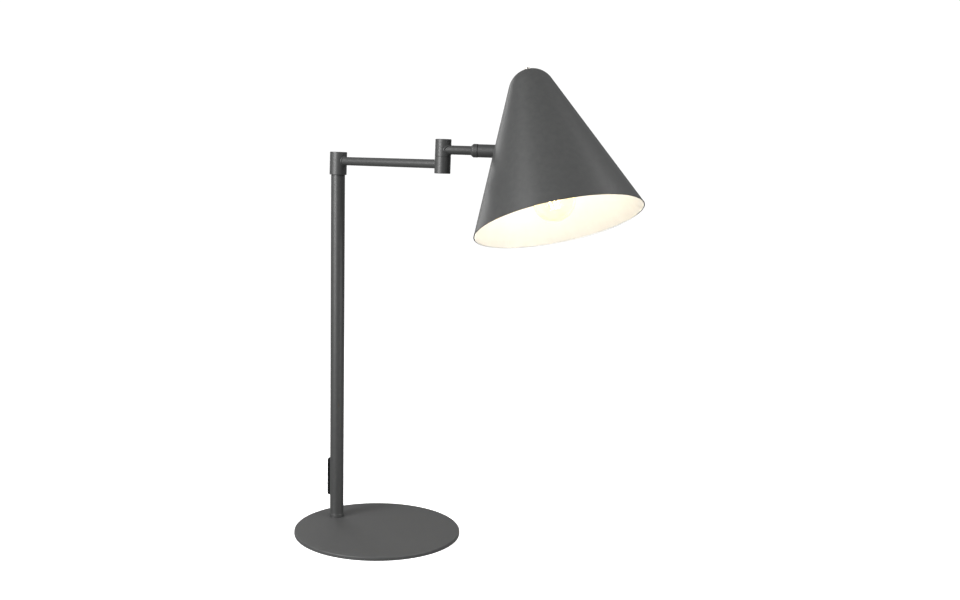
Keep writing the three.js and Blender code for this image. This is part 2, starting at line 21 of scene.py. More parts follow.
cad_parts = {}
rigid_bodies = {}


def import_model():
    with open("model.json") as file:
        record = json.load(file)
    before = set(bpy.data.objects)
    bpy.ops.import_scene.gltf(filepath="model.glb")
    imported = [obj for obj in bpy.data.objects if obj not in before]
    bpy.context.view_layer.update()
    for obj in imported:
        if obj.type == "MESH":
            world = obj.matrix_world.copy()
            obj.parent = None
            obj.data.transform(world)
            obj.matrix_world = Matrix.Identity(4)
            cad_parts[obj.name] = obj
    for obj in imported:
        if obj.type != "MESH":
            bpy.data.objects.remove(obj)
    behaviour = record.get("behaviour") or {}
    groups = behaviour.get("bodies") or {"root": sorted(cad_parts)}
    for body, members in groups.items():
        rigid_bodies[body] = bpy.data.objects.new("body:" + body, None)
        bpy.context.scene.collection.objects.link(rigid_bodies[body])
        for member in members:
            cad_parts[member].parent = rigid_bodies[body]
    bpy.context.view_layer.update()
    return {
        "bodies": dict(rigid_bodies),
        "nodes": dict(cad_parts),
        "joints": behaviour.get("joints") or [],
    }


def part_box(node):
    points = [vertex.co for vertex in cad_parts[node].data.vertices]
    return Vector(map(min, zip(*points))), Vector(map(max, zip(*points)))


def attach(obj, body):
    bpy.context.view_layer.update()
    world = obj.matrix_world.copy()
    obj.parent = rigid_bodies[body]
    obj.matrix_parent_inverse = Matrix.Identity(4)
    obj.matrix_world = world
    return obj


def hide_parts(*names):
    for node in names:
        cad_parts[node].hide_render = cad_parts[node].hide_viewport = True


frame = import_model()

MM = 0.001  # metres in a millimetre
TINY = 1e-9  # a radius below this lies on the axis
CREASE = 32.0  # degrees past which an edge stays sharp
PIVOT_BORE = 4.15  # radius of the holes that the hollow pivots pass through
PIN_HOLE = 0.9  # radius of a stop pin's hole
TRACK_INNER = 4.6  # inner radius of the groove that a stop pin runs in
TRACK_DEPTH = 1.7  # and its depth
log = logging.getLogger("desk_lamp")

Piece = bpy.types.Object
Mesh = bpy.types.Mesh
Tree = bpy.types.NodeTree
Point = tuple[float, float]
Corner = tuple[float, float, float]
Colour = tuple[float, float, float]
UP = Vector((0, 0, 1))


class Body(Enum):
    """The rigid bodies of the frame that pieces ride on."""

    STAND = "stand"
    ROCKER = "rocker"
    FIRST_ARM = "first_arm"
    SECOND_ARM = "second_arm"
    SHADE = "shade"


# ------------------------------------------------------------------------------ places
@dataclass(frozen=True)
class Axis:
    """A line that pieces are turned about: local +Z runs along it, local +X points to its side."""

    origin: Vector
    along: Vector
    side: Vector

    @classmethod
    def through(cls, origin: Vector, along: Vector, towards: Vector) -> "Axis":
        """Makes an axis from a point, a direction and a rough direction for its side.

        Args:
            origin: A point on the axis, in metres.
            along: The direction of local +Z.
            towards: Any direction that isn't parallel to it, which local +X leans to.

        Returns:
            The axis, with unit vectors at right angles.
        """
        z = along.normalized()
        return cls(origin.copy(), z, (towards - z * towards.dot(z)).normalized())

    def matrix(self) -> Matrix:
        """Returns the matrix from local millimetres to the lamp's metres."""
        turn = Matrix((self.side, self.along.cross(self.side), self.along)).transposed().to_4x4()
        return Matrix.Translation(self.origin) @ turn @ Matrix.Scale(MM, 4)

    def point(self, x: float, y: float, z: float) -> Vector:
        """Returns the place in metres of a local point given in millimetres."""
        return self.matrix() @ Vector((x, y, z))

    def local(self, points: np.ndarray) -> np.ndarray:
        """Returns places in metres as local points in millimetres."""
        inverse = np.array(self.matrix().inverted())
        return points @ inverse[:3, :3].T + inverse[:3, 3]


@dataclass(frozen=True)
class Span:
    """What a turned frame node measures about an axis, in millimetres."""

    radius: float
    low: float
    high: float

    @property
    def middle(self) -> float:
        """Half way between low and high."""
        return (self.low + self.high) / 2


def node_points(node: str) -> np.ndarray:
    """Returns the corners of a frame node in metres."""
    return np.array([v.co for v in frame["nodes"][node].data.vertices], float)


def centre_of(node: str) -> Vector:
    """Returns the middle of a frame node's box in metres."""
    return sum((Vector(corner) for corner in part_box(node)), Vector()) / 2


def gauge(node: str, axis: Axis) -> Span:
    """Measures a frame node about an axis.

    Args:
        node: The frame node's name.
        axis: The axis it is turned about.

    Returns:
        Its largest radius and its extent along the axis.
    """
    x, y, z = axis.local(node_points(node)).T
    return Span(float(np.hypot(x, y).max()), float(z.min()), float(z.max()))


def joint(name: str) -> tuple[Vector, Vector]:
    """Returns a hinge's place in metres and its unit axis."""
    found = next(j for j in frame["joints"] if j["name"] == name)
    return Vector(found["pos_m"]), Vector(found["axis"]).normalized()


def long_axis(node: str, towards: Vector) -> Axis:
    """Finds the long axis of a rod-like frame node.

    Args:
        node: The frame node's name.
        towards: A direction that the axis should rather point along.

    Returns:
        The axis through the node's middle.
    """
    points = np.unique(node_points(node).round(7), axis=0)
    middle = points.mean(0)
    along = Vector(np.linalg.svd(points - middle, full_matrices=False)[2][0])
    if along.dot(towards) < 0:
        along = -along
    side = Vector((1, 0, 0)) if abs(along.x) < 0.9 else Vector((0, 1, 0))
    return Axis.through(Vector(middle), along, side)


@dataclass(frozen=True)
class Layout:
    """The lamp's main axes, all read from the frame."""

    post: Axis
    switch: Axis
    swivel: Axis
    arm_one: Axis
    elbow: Axis
    arm_two: Axis
    shade: Axis

    @classmethod
    def from_frame(cls) -> "Layout":
        """Works the axes out from the frame's joints and rods."""
        swing, plumb = joint("arm_swing")
        bend, lean = joint("elbow_swing")
        turn, reach = joint("shade_turn")
        rocker, _ = joint("switch_rock")
        forward = bend - swing
        post = Axis.through(Vector((swing.x, swing.y, 0)), plumb, forward)
        out = Vector((rocker.x - swing.x, rocker.y - swing.y, 0))
        swivel = Axis.through(swing, lean, forward)
        start = swing + swivel.along * (gauge("arm_1_tube", swivel).middle * MM)
        rod = long_axis("hanger_rod", UP)
        gap, across = turn - rod.origin, rod.along.dot(reach)
        down = (gap.dot(rod.along) - across * gap.dot(reach)) / (1 - across * across)
        return cls(
            post=post,
            switch=Axis.through(Vector((swing.x, swing.y, rocker.z)), out, UP),
            swivel=swivel,
            arm_one=Axis.through(start, swivel.side, lean),
            elbow=Axis.through(bend, lean, reach),
            arm_two=Axis.through(turn - reach * (turn - bend).dot(reach), reach, lean),
            shade=Axis.through(rod.origin + rod.along * down, rod.along, reach),
        )


# ------------------------------------------------------------------------------ finishes
def operator(operation: str, swapped: bool = False) -> Callable[["Wire", "Wire | float"], "Wire"]:
    """Makes a method of Wire that adds one Math node.

    Args:
        operation: The node's operation.
        swapped: True for a reflected form, which takes the other value first.

    Returns:
        The method.
    """
    def method(wire: "Wire", other: "Wire | float") -> "Wire":
        """Adds the node and returns its output."""
        pair = (other, wire) if swapped else (wire, other)
        return add(wire.tree, "ShaderNodeMath", {"operation": operation}, dict(enumerate(pair)))

    return method


@dataclass(frozen=True)
class Wire:
    """An output socket of a node tree, on which sums are written as Python expressions."""

    tree: Tree
    socket: bpy.types.NodeSocket

    __add__, __radd__ = operator("ADD"), operator("ADD", True)
    __sub__, __rsub__ = operator("SUBTRACT"), operator("SUBTRACT", True)
    __mul__, __rmul__ = operator("MULTIPLY"), operator("MULTIPLY", True)
    __pow__, __rpow__ = operator("POWER"), operator("POWER", True)


def fill(tree: Tree, node: bpy.types.Node, values: dict[str | int, object]) -> None:
    """Fills a node's sockets.

    Args:
        tree: The node's tree.
        node: The node.
        values: A number, a tuple or a Wire for each input, by name or number.
    """
    for key, value in values.items():
        if isinstance(value, Wire):
            tree.links.new(value.socket, node.inputs[key])
        else:
            node.inputs[key].default_value = value


def add(tree: Tree, kind: str, settings: dict[str, object], values: dict[str | int, object],
        output: str | int = 0) -> Wire:
    """Adds a node, sets it and fills its sockets.

    Args:
        tree: The node tree.
        kind: The node's type.
        settings: Its properties, which are set first.
        values: A number, a tuple or a Wire for each input, by name or number.
        output: The output to return.

    Returns:
        The chosen output.
    """
    node = tree.nodes.new(kind)
    for key, value in settings.items():
        setattr(node, key, value)
    fill(tree, node, values)
    return Wire(tree, node.outputs[output])


def mixed(tree: Tree, share: Wire, a: "Colour | Wire", b: "Colour | Wire") -> Wire:
    """Mixes two colours by a value.

    Args:
        tree: The node tree.
        share: How much of the second shows.
        a: The first colour.
        b: The second colour.

    Returns:
        The mixed colour.
    """
    a, b = (c if isinstance(c, Wire) else (*c, 1) for c in (a, b))
    return add(tree, "ShaderNodeMix", {"data_type": "RGBA", "clamp_factor": True},
               {0: share, 6: a, 7: b}, 2)


def ramped(tree: Tree, value: Wire, low: float, high: float) -> Wire:
    """Returns a value that rises smoothly from 0 to 1 as another goes from low to high."""
    return add(tree, "ShaderNodeMapRange", {"interpolation_type": "SMOOTHSTEP"},
               {"Value": value, "From Min": low, "From Max": high})


def grain(tree: Tree, size: float, detail: float = 2.0, rough: float = 0.5) -> Wire:
    """Makes a noise on Object coordinates.

    Args:
        tree: The node tree.
        size: The features' size in millimetres.
        detail: Octaves.
        rough: The finer octaves' strength.

    Returns:
        The noise value, about 0.5.
    """
    place = add(tree, "ShaderNodeTexCoord", {}, {}, "Object")
    return add(tree, "ShaderNodeTexNoise", {}, {"Vector": place, "Scale": 1 / (size * MM),
                                               "Detail": detail, "Roughness": rough}, "Fac")


def blank(name: str) -> tuple[bpy.types.Material, Tree, bpy.types.Node]:
    """Returns a new material with its tree and its main shader."""
    made = bpy.data.materials.new(name)
    made.use_nodes = True
    return made, made.node_tree, made.node_tree.nodes["Principled BSDF"]


@dataclass(frozen=True)
class Finish:
    """A surface finish: two mixed colours, roughness that varies, and a fine relief.

    The sizes of the mottle and of the fine grain and the height of the relief are millimetres.
    """

    name: str
    colour: Colour
    second: Colour
    roughness: float
    spread: float
    mottle: float
    fine: float
    relief: float
    metallic: float = 0.0
    specular: float = 0.5
    dust: float = 0.0
    dust_colour: Colour = (0.42, 0.41, 0.39)
    dust_size: float = 1.1

    def material(self) -> bpy.types.Material:
        """Builds the finish as a material."""
        made, tree, shader = blank(self.name)
        broad = grain(tree, self.mottle, 4.0, 0.6)
        fine = grain(tree, self.fine, 3.0, 0.62)
        patch = ramped(tree, broad * 0.55 + fine * 0.45, 0.36, 0.64)
        colour = mixed(tree, patch, self.colour, self.second)
        rough = self.roughness + (fine - 0.5) * (2 * self.spread) + (broad - 0.5) * self.spread
        if self.dust > 0:
            normal = add(tree, "ShaderNodeNewGeometry", {}, {}, "Normal")
            upward = add(tree, "ShaderNodeSeparateXYZ", {}, {0: normal}, "Z")
            speck = grain(tree, self.dust_size, 5.0, 0.7)
            dust = ramped(tree, upward, 0.55, 1.0) * (speck * self.dust)
            colour = mixed(tree, dust, colour, self.dust_colour)
            rough = rough + dust * 0.3
        height = fine * 0.75 + grain(tree, self.fine * 4, 2.0) * 0.6
        bump = add(tree, "ShaderNodeBump", {}, {"Strength": 0.6, "Distance": self.relief * MM,
                                               "Height": height})
        fill(tree, shader, {"Base Color": colour, "Roughness": rough, "Normal": bump,
                            "Metallic": self.metallic, "Specular IOR Level": self.specular})
        return made


@dataclass(frozen=True)
class Glow:
    """A surface that gives light, in two warm colours mixed over it."""

    name: str
    colour: Colour
    second: Colour
    strength: float

    def material(self) -> bpy.types.Material:
        """Builds the glow as a material."""
        made, tree, shader = blank(self.name)
        warm = mixed(tree, grain(tree, 1.2), self.colour, self.second)
        fill(tree, shader, {"Base Color": warm, "Emission Color": warm,
                            "Emission Strength": self.strength, "Roughness": 0.5})
        return made


@dataclass(frozen=True)
class ClearGlass:
    """Thin blown glass: clear face on, glossier towards its edge, with a rim colour that is
    painted reflection.
    """

    name: str
    tint: Colour
    # edge: the colour the glass shows edge-on, a painted reflection
    edge: Colour
    least: float = 0.035
    gloss: float = 0.62

    def material(self) -> bpy.types.Material:
        """Builds the glass as a mix of a clear shader and a glossy one."""
        made, tree, shader = blank(self.name)
        facing = add(tree, "ShaderNodeLayerWeight", {}, {"Blend": 0.32}, "Facing")
        # Painted reflection: the rim colour is mixed in where the glass is seen edge-on.
        colour = mixed(tree, grain(tree, 9.0), self.edge, tuple(0.85 * c for c in self.edge))
        fill(tree, shader, {"Base Color": colour, "Roughness": 0.04})
        clear = add(tree, "ShaderNodeBsdfTransparent", {}, {"Color": (*self.tint, 1)})
        both = {0: facing ** 2.2 * self.gloss + self.least, 1: clear,
                2: Wire(tree, shader.outputs[0])}
        fill(tree, tree.nodes["Material Output"],
             {"Surface": add(tree, "ShaderNodeMixShader", {}, both)})
        return made


class Look(Enum):
    """The finishes of this lamp."""

    COAT = Finish("anthracite_powder_coat", (0.047, 0.048, 0.048), (0.055, 0.056, 0.055), 0.4,
                  0.04, mottle=4.0, fine=0.5, relief=0.006, specular=0.6)
    # Same anthracite powder coat as the arms, made lighter: the extra lightness is painted light
    # for the light on the base's top.
    BASE_COAT_WITH_PAINTED_LIGHT = Finish("anthracite_powder_coat_base_painted_lighter", (0.065, 0.066, 0.066),
                       (0.074, 0.075, 0.074), 0.46, 0.06, mottle=7.0, fine=0.5, relief=0.022,
                       dust=0.03)
    SHADE_COAT = Finish("anthracite_powder_coat_shade", (0.053, 0.054, 0.054),
                        (0.061, 0.062, 0.061), 0.4, 0.06, mottle=6.0, fine=0.55, relief=0.024)
    ENAMEL = Finish("white_inner_enamel", (0.88, 0.87, 0.845), (0.85, 0.84, 0.815), 0.42, 0.06,
                    mottle=9.0, fine=0.7, relief=0.012)
    STEEL = Finish("zinc_plated_steel", (0.62, 0.61, 0.58), (0.5, 0.49, 0.47), 0.3, 0.1,
                   mottle=2.5, fine=0.18, relief=0.006, metallic=1.0)
    SCREW = Finish("nickel_screw", (0.66, 0.63, 0.58), (0.5, 0.46, 0.4), 0.26, 0.1, mottle=1.5,
                   fine=0.15, relief=0.006, metallic=1.0)
    DARK_SCREW = Finish("black_oxide_screw", (0.05, 0.05, 0.05), (0.09, 0.085, 0.08), 0.42, 0.1,
                        mottle=1.5, fine=0.15, relief=0.006, metallic=0.8)
    PAD = Finish("rubber_pad", (0.024, 0.024, 0.025), (0.034, 0.034, 0.034), 0.86, 0.06,
                 mottle=4.0, fine=0.4, relief=0.05)
    RUBBER = Finish("black_rubber", (0.02, 0.02, 0.021), (0.03, 0.03, 0.03), 0.72, 0.08,
                    mottle=3.0, fine=0.3, relief=0.02)
    PLASTIC = Finish("black_switch_plastic", (0.006, 0.006, 0.007), (0.01, 0.01, 0.01), 0.62,
                     0.06, mottle=3.0, fine=0.25, relief=0.012, specular=0.08)
    NYLON = Finish("black_nylon", (0.02, 0.02, 0.02), (0.03, 0.03, 0.03), 0.5, 0.06, mottle=3.0,
                   fine=0.3, relief=0.01)
    SHEATH = Finish("lead_sheath", (0.022, 0.022, 0.023), (0.034, 0.034, 0.034), 0.62, 0.08,
                    mottle=3.0, fine=0.5, relief=0.03)
    HOLDER = Finish("white_moulded_holder", (0.74, 0.71, 0.64), (0.67, 0.64, 0.57), 0.38, 0.06,
                    mottle=3.5, fine=0.3, relief=0.01)
    BRASS = Finish("brass", (0.72, 0.5, 0.2), (0.58, 0.38, 0.14), 0.3, 0.1, mottle=2.0,
                   fine=0.2, relief=0.008, metallic=1.0)
    NICKEL = Finish("nickel_cap", (0.68, 0.65, 0.6), (0.55, 0.52, 0.47), 0.28, 0.1, mottle=2.0,
                    fine=0.2, relief=0.008, metallic=1.0)
    # The bulb glass's golden rim colour is a painted reflection of the glowing filaments.
    GLASS = ClearGlass("clear_glass_painted_golden_rim", (0.995, 0.98, 0.94), (0.93, 0.76, 0.36))
    STEM = ClearGlass("stem_glass", (0.97, 0.97, 0.95), (0.86, 0.86, 0.82))
    GLOWING = Glow("glowing_filament", (1.0, 0.8, 0.48), (1.0, 0.62, 0.26), 5.0)


LOOKS: dict[Look, bpy.types.Material] = {look: look.value.material() for look in Look}


def dress(look: Look, *nodes: str) -> None:
    """Gives frame nodes a finish.

    Args:
        look: The finish.
        nodes: The nodes' names.
    """
    for node in nodes:
        for place in frame["nodes"][node].material_slots:
            place.material = LOOKS[look]
        log.info("%s dressed in %s", node, look.name.lower())


# ------------------------------------------------------------------------------ meshes
def ring(inner: float, outer: float, low: float, high: float,
         fillets: Sequence[float] = (0, 0, 0, 0)) -> list[Corner]:
    """Returns a rectangular outline.

    Args:
        inner: Its inner radius.
        outer: Its outer radius.
        low: Its lower height.
        high: Its upper height.
        fillets: Fillet radii at inner low, outer low, outer high and inner high.

    Returns:
        The corners in that order.
    """
    places = ((inner, low), (outer, low), (outer, high), (inner, high))
    return [(x, y, fillet) for (x, y), fillet in zip(places, fillets)]


def rounded(corners: Sequence[Corner], closed: bool = False, steps: int = 4) -> list[Point]:
    """Rounds the corners of an outline, with a short edge beside each so that flats shade flat.

    Args:
        corners: Points as (radius, height, fillet radius).
        closed: True if the last corner joins the first.
        steps: Edges in each fillet.

    Returns:
        The outline's points.
    """
    support_length, most, share = 0.12, 0.45, 0.05
    points: list[Point] = []
    count = len(corners)
    for i, (x, y, fillet) in enumerate(corners):
        here = Vector((x, y))
        if fillet <= 0 or (not closed and i in (0, count - 1)):
            points.append((x, y))
            continue
        before = Vector(corners[i - 1][:2]) - here
        after = Vector(corners[(i + 1) % count][:2]) - here
        a, b = before.normalized(), after.normalized()
        half = math.acos(max(-1.0, min(1.0, a.dot(b)))) / 2
        reach = min(fillet / math.tan(half), before.length * most, after.length * most)
        centre = here + (a + b).normalized() * (reach * math.tan(half) / math.sin(half))
        start, end = here + a * reach - centre, here + b * reach - centre
        sweep = math.atan2(start.x * end.y - start.y * end.x, start.dot(end))
        support = min(support_length, before.length * share, after.length * share)
        points.append(tuple(here + a * (reach + support)))
        for k in range(steps + 1):
            cos, sin = math.cos(sweep * k / steps), math.sin(sweep * k / steps)
            spoke = Vector((start.x * cos - start.y * sin, start.x * sin + start.y * cos))
            points.append(tuple(centre + spoke))
        points.append(tuple(here + b * (reach + support)))
    return points


def linked(name: str, data: bpy.types.ID) -> Piece:
    """Returns a new object that is in the scene."""
    made = bpy.data.objects.new(name, data)
    bpy.context.scene.collection.objects.link(made)
    return made


def plain(piece: Piece, modifier: bpy.types.Modifier) -> Mesh:
    """Returns the plain mesh that a modifier makes of a piece, and removes the modifier."""
    bpy.context.view_layer.update()
    depsgraph = bpy.context.evaluated_depsgraph_get()
    mesh = bpy.data.meshes.new_from_object(piece.evaluated_get(depsgraph))
    piece.modifiers.remove(modifier)
    return mesh


def finished(name: str, work: bmesh.types.BMesh | Mesh, axis: Axis | None, *looks: Look,
             crease: float = CREASE) -> Piece:
    """Turns a local mesh into a placed, smooth-shaded object whose faces point outwards.

    Args:
        name: The piece's name.
        work: Its shape in local millimetres, or in metres when axis is None; a BMesh is freed.
        axis: Where it goes.
        looks: Its finishes, in the order of its faces' material numbers.
        crease: Angle in degrees past which an edge stays sharp.

    Returns:
        The object, standing at the origin.
    """
    mesh = work
    if isinstance(work, bmesh.types.BMesh):
        bmesh.ops.recalc_face_normals(work, faces=work.faces)
        mesh = bpy.data.meshes.new(name)
        work.to_mesh(mesh)
        work.free()
    if axis is not None:
        mesh.transform(axis.matrix())
    check = bmesh.new()
    check.from_mesh(mesh)
    if check.calc_volume(signed=True) < 0:
        bmesh.ops.reverse_faces(check, faces=check.faces)
    check.to_mesh(mesh)
    check.free()
    if not mesh.materials:
        for look in looks:
            mesh.materials.append(LOOKS[look])
    mesh.shade_smooth()
    mesh.set_sharp_from_angle(angle=math.radians(crease))
    return linked(name, mesh)


def turned_mesh(name: str, outline: Sequence[Point], segments: int,
                zones: Sequence[int] = ()) -> Mesh:
    """Makes a mesh of revolution about local +Z.

    Args:
        name: The mesh's name.
        outline: Points as (radius, height), closed on the axis at both ends or on itself.
        segments: Steps round the axis.
        zones: A material number for each edge of the outline, or nothing.

    Returns:
        The closed mesh.
    """
    verts: list[Corner] = []
    rings: list[list[int]] = []
    for radius, height in outline:
        first = len(verts)
        if radius < TINY:
            verts.append((0.0, 0.0, height))
            rings.append([first] * segments)
            continue
        for k in range(segments):
            angle = 2 * math.pi * k / segments
            verts.append((radius * math.cos(angle), radius * math.sin(angle), height))
        rings.append(list(range(first, first + segments)))
    faces, numbers = [], []
    on_axis = outline[0][0] < TINY and outline[-1][0] < TINY
    for i in range(len(outline) - on_axis):
        lower, upper = rings[i], rings[(i + 1) % len(outline)]
        for k in range(segments):
            n = (k + 1) % segments
            loop = list(dict.fromkeys((lower[k], lower[n], upper[n], upper[k])))
            if len(loop) > 2:
                faces.append(loop)
                numbers.append(zones[i] if zones else 0)
    mesh = bpy.data.meshes.new(name)
    mesh.from_pydata(verts, [], faces)
    mesh.polygons.foreach_set("material_index", numbers)
    mesh.update()
    return mesh


def turned(name: str, corners: Sequence[Corner], axis: Axis, look: Look, segments: int = 96,
           closed: bool = False, steps: int = 4) -> Piece:
    """Makes a turned piece from an outline with rounded corners.

    Args:
        name: The piece's name.
        corners: Points as (radius, height, fillet radius) in millimetres.
        axis: The axis that it is turned about.
        look: Its finish.
        segments: Steps round the axis.
        closed: True for a ring, whose outline closes on itself.
        steps: Edges in each fillet.

    Returns:
        The object.
    """
    return finished(name, turned_mesh(name, rounded(corners, closed, steps), segments), axis, look)


def weld_bead(name: str, tube: Axis, radius: float, reach: tuple[float, float], bar: Axis,
              bar_radius: float, bead: float) -> Piece:
    """Runs a fine bead of weld round the line where a tube enters a round bar.

    Args:
        name: The piece's name.
        tube: The tube's axis.
        radius: The tube's radius in millimetres.
        reach: Two distances along the tube, the first outside the bar and the second inside.
        bar: The bar's axis.
        bar_radius: The bar's radius in millimetres.
        bead: The bead's radius in millimetres.

    Returns:
        The object.
    """
    stops, sides, halvings = 72, 10, 28
    back = bar.matrix().inverted()
    path = []
    for k in range(stops):
        angle = 2 * math.pi * k / stops
        x, y = radius * math.cos(angle), radius * math.sin(angle)
        outside, inside = reach
        for _ in range(halvings):
            middle = (outside + inside) / 2
            entered = (back @ tube.point(x, y, middle)).xy.length < bar_radius
            outside, inside = (outside, middle) if entered else (middle, inside)
        path.append(tube.point(x, y, outside))
    work = bmesh.new()
    rings, normal = [], Vector((0.31, 0.17, 0.93))
    for i, here in enumerate(path):
        along = (path[(i + 1) % stops] - path[i - 1]).normalized()
        normal = (normal - along * normal.dot(along)).normalized()
        across = along.cross(normal)
        spokes = (normal * math.cos(t) + across * math.sin(t)
                  for t in (2 * math.pi * k / sides for k in range(sides)))
        rings.append([work.verts.new(here + spoke * bead * MM) for spoke in spokes])
    for low, high in zip(rings, rings[1:] + rings[:1]):
        shift = 0
        if high is rings[0]:
            shift = min(range(sides), key=lambda s: (low[0].co - high[s].co).length)
        for k in range(sides):
            n = (k + 1) % sides
            work.faces.new((low[k], low[n], high[(n + shift) % sides], high[(k + shift) % sides]))
    return finished(name, work, None, Look.COAT, crease=60)


def cut(piece: Piece, cutters: Sequence[Piece]) -> Piece:
    """Cuts closed shapes out of a piece and removes them.

    Args:
        piece: The piece, whose mesh is replaced.
        cutters: The shapes.

    Returns:
        The piece.
    """
    for cutter in cutters:
        boolean = piece.modifiers.new("cut", "BOOLEAN")
        boolean.operation, boolean.solver, boolean.object = "DIFFERENCE", "EXACT", cutter
        piece.data = plain(piece, boolean)
        bpy.data.objects.remove(cutter)
    piece.data.set_sharp_from_angle(angle=math.radians(CREASE))
    return piece


def bar(axis: Axis, radius: float, low: float, high: float, segments: int = 64) -> Piece:
    """Returns a round bar to cut a hole with."""
    return turned("cutter", ring(0, radius, low, high), axis, Look.COAT, segments)


def pin_bar(node: str, axis: Axis, low: float, high: float) -> Piece:
    """Returns a bar to cut a stop pin's hole with, at the pin's place beside an axis."""
    x, y, _ = (float(v) for v in axis.local(node_points(node)).mean(0))
    return bar(Axis(axis.point(x, y, 0), axis.along, axis.side), PIN_HOLE, low, high, 16)


def track(outer: float, axis: Axis, face: float) -> Piece:
    """Returns a ring to cut the groove with that a stop pin runs in, up from a face."""
    corners = ring(TRACK_INNER, outer, face - 1, face + TRACK_DEPTH)
    return turned("track", corners, axis, Look.COAT, 64, closed=True)


def slab(name: str, outline: Sequence[Point], low: float, high: float, axis: Axis, look: Look,
         edge: float = 0.0, steps: int = 3) -> Piece:
    """Extrudes a flat outline along an axis and rounds its top edge.

    Args:
        name: The piece's name.
        outline: Points in the plane of the axis's side, in millimetres.
        low: Start along the axis.
        high: End along the axis.
        axis: Where it goes.
        look: Its finish.
        edge: Radius of the rounding at the top.
        steps: Edges in the rounding.

    Returns:
        The object.
    """
    work = bmesh.new()
    bottom = work.faces.new([work.verts.new((x, y, low)) for x, y in outline])
    grown = bmesh.ops.extrude_face_region(work, geom=[bottom])
    tops = [v for v in grown["geom"] if isinstance(v, bmesh.types.BMVert)]
    bmesh.ops.translate(work, verts=tops, vec=(0, 0, high - low))
    bmesh.ops.recalc_face_normals(work, faces=work.faces)
    if edge > 0:
        rim = [e for e in work.edges if all(abs(v.co.z - high) < 1e-6 for v in e.verts)]
        bmesh.ops.bevel(work, geom=rim, offset=edge, segments=steps, profile=0.5, affect="EDGES")
    return finished(name, work, axis, look)


def pill(length: float, width: float, corner: float, steps: int = 8) -> list[Point]:
    """Returns the outline of a rectangle with round corners.

    Args:
        length: Its size in its first direction.
        width: Its size in its second direction.
        corner: Radius of its corners.
        steps: Edges in each corner.

    Returns:
        The outline's points.
    """
    points = []
    for quarter, (sx, sy) in enumerate(((1, 1), (-1, 1), (-1, -1), (1, -1))):
        cx, cy = sx * (length / 2 - corner), sy * (width / 2 - corner)
        for k in range(steps + 1):
            angle = math.pi / 2 * (quarter + k / steps)
            points.append((cx + corner * math.cos(angle), cy + corner * math.sin(angle)))
    return points


def joined(main: Piece, *others: Piece, crease: float = CREASE) -> Piece:
    """Adds other objects' meshes to a piece and removes them.

    Args:
        main: The piece that is kept.
        others: The objects that go into it; they share its first finish.
        crease: Angle in degrees past which an edge stays sharp.

    Returns:
        The piece.
    """
    work = bmesh.new()
    for piece in (main, *others):
        work.from_mesh(piece.data)
    work.to_mesh(main.data)
    work.free()
    for other in others:
        bpy.data.objects.remove(other)
    main.data.shade_smooth()
    main.data.set_sharp_from_angle(angle=math.radians(crease))
    return main


# ------------------------------------------------------------------------------ geometry nodes
@dataclass
class Graph:
    """A Geometry Nodes tree under construction, whose named inputs are its sizes."""

    name: str
    sizes: dict[str, float]
    tree: Tree = field(init=False)
    inputs: dict[str, Wire] = field(init=False)
    defaults: dict[str, float] = field(init=False, default_factory=dict)

    def __post_init__(self) -> None:
        """Makes the tree with its inputs; a whole number becomes an integer input."""
        self.tree = bpy.data.node_groups.new(self.name, "GeometryNodeTree")
        sockets = self.tree.interface
        sockets.new_socket("Geometry", in_out="OUTPUT", socket_type="NodeSocketGeometry")
        for name, value in self.sizes.items():
            kind = "NodeSocketInt" if isinstance(value, int) else "NodeSocketFloat"
            made = sockets.new_socket(name, in_out="INPUT", socket_type=kind)
            self.defaults[made.identifier] = value
        source = self.tree.nodes.new("NodeGroupInput")
        self.inputs = {name: Wire(self.tree, source.outputs[name]) for name in self.sizes}

    def put(self, kind: str, values: dict[str | int, object], **settings: object) -> Wire:
        """Adds a node to the tree and returns its first output."""
        return add(self.tree, kind, settings, values)

    def along(self, letter: str, size: Wire) -> Wire:
        """Returns a vector of a size along one axis."""
        return self.put("ShaderNodeCombineXYZ", {letter: size})

    def cylinder(self, sides: int) -> Wire:
        """Returns a cylinder of the inputs Radius and Depth."""
        return self.put("GeometryNodeMeshCylinder", {
            "Vertices": sides, "Radius": self.inputs["Radius"], "Depth": self.inputs["Depth"]})

    def finish(self, shape: Wire, axis: Axis, look: Look, crease: float = CREASE) -> Piece:
        """Ends the tree, evaluates it once and places the plain mesh.

        Args:
            shape: The geometry to realise.
            axis: Where it goes.
            look: Its finish.
            crease: Angle in degrees past which an edge stays sharp.

        Returns:
            The object.
        """
        real = self.put("GeometryNodeRealizeInstances", {0: shape})
        dressed = self.put("GeometryNodeSetMaterial", {"Geometry": real, "Material": LOOKS[look]})
        fill(self.tree, self.tree.nodes.new("NodeGroupOutput"), {0: dressed})
        carrier = linked(self.name, bpy.data.meshes.new(self.name))
        modifier = carrier.modifiers.new("nodes", "NODES")
        modifier.node_group = self.tree
        for identifier, value in self.defaults.items():
            modifier[identifier] = value
        mesh = plain(carrier, modifier)
        bpy.data.objects.remove(carrier)
        return finished(self.name, mesh, axis, look, crease=crease)


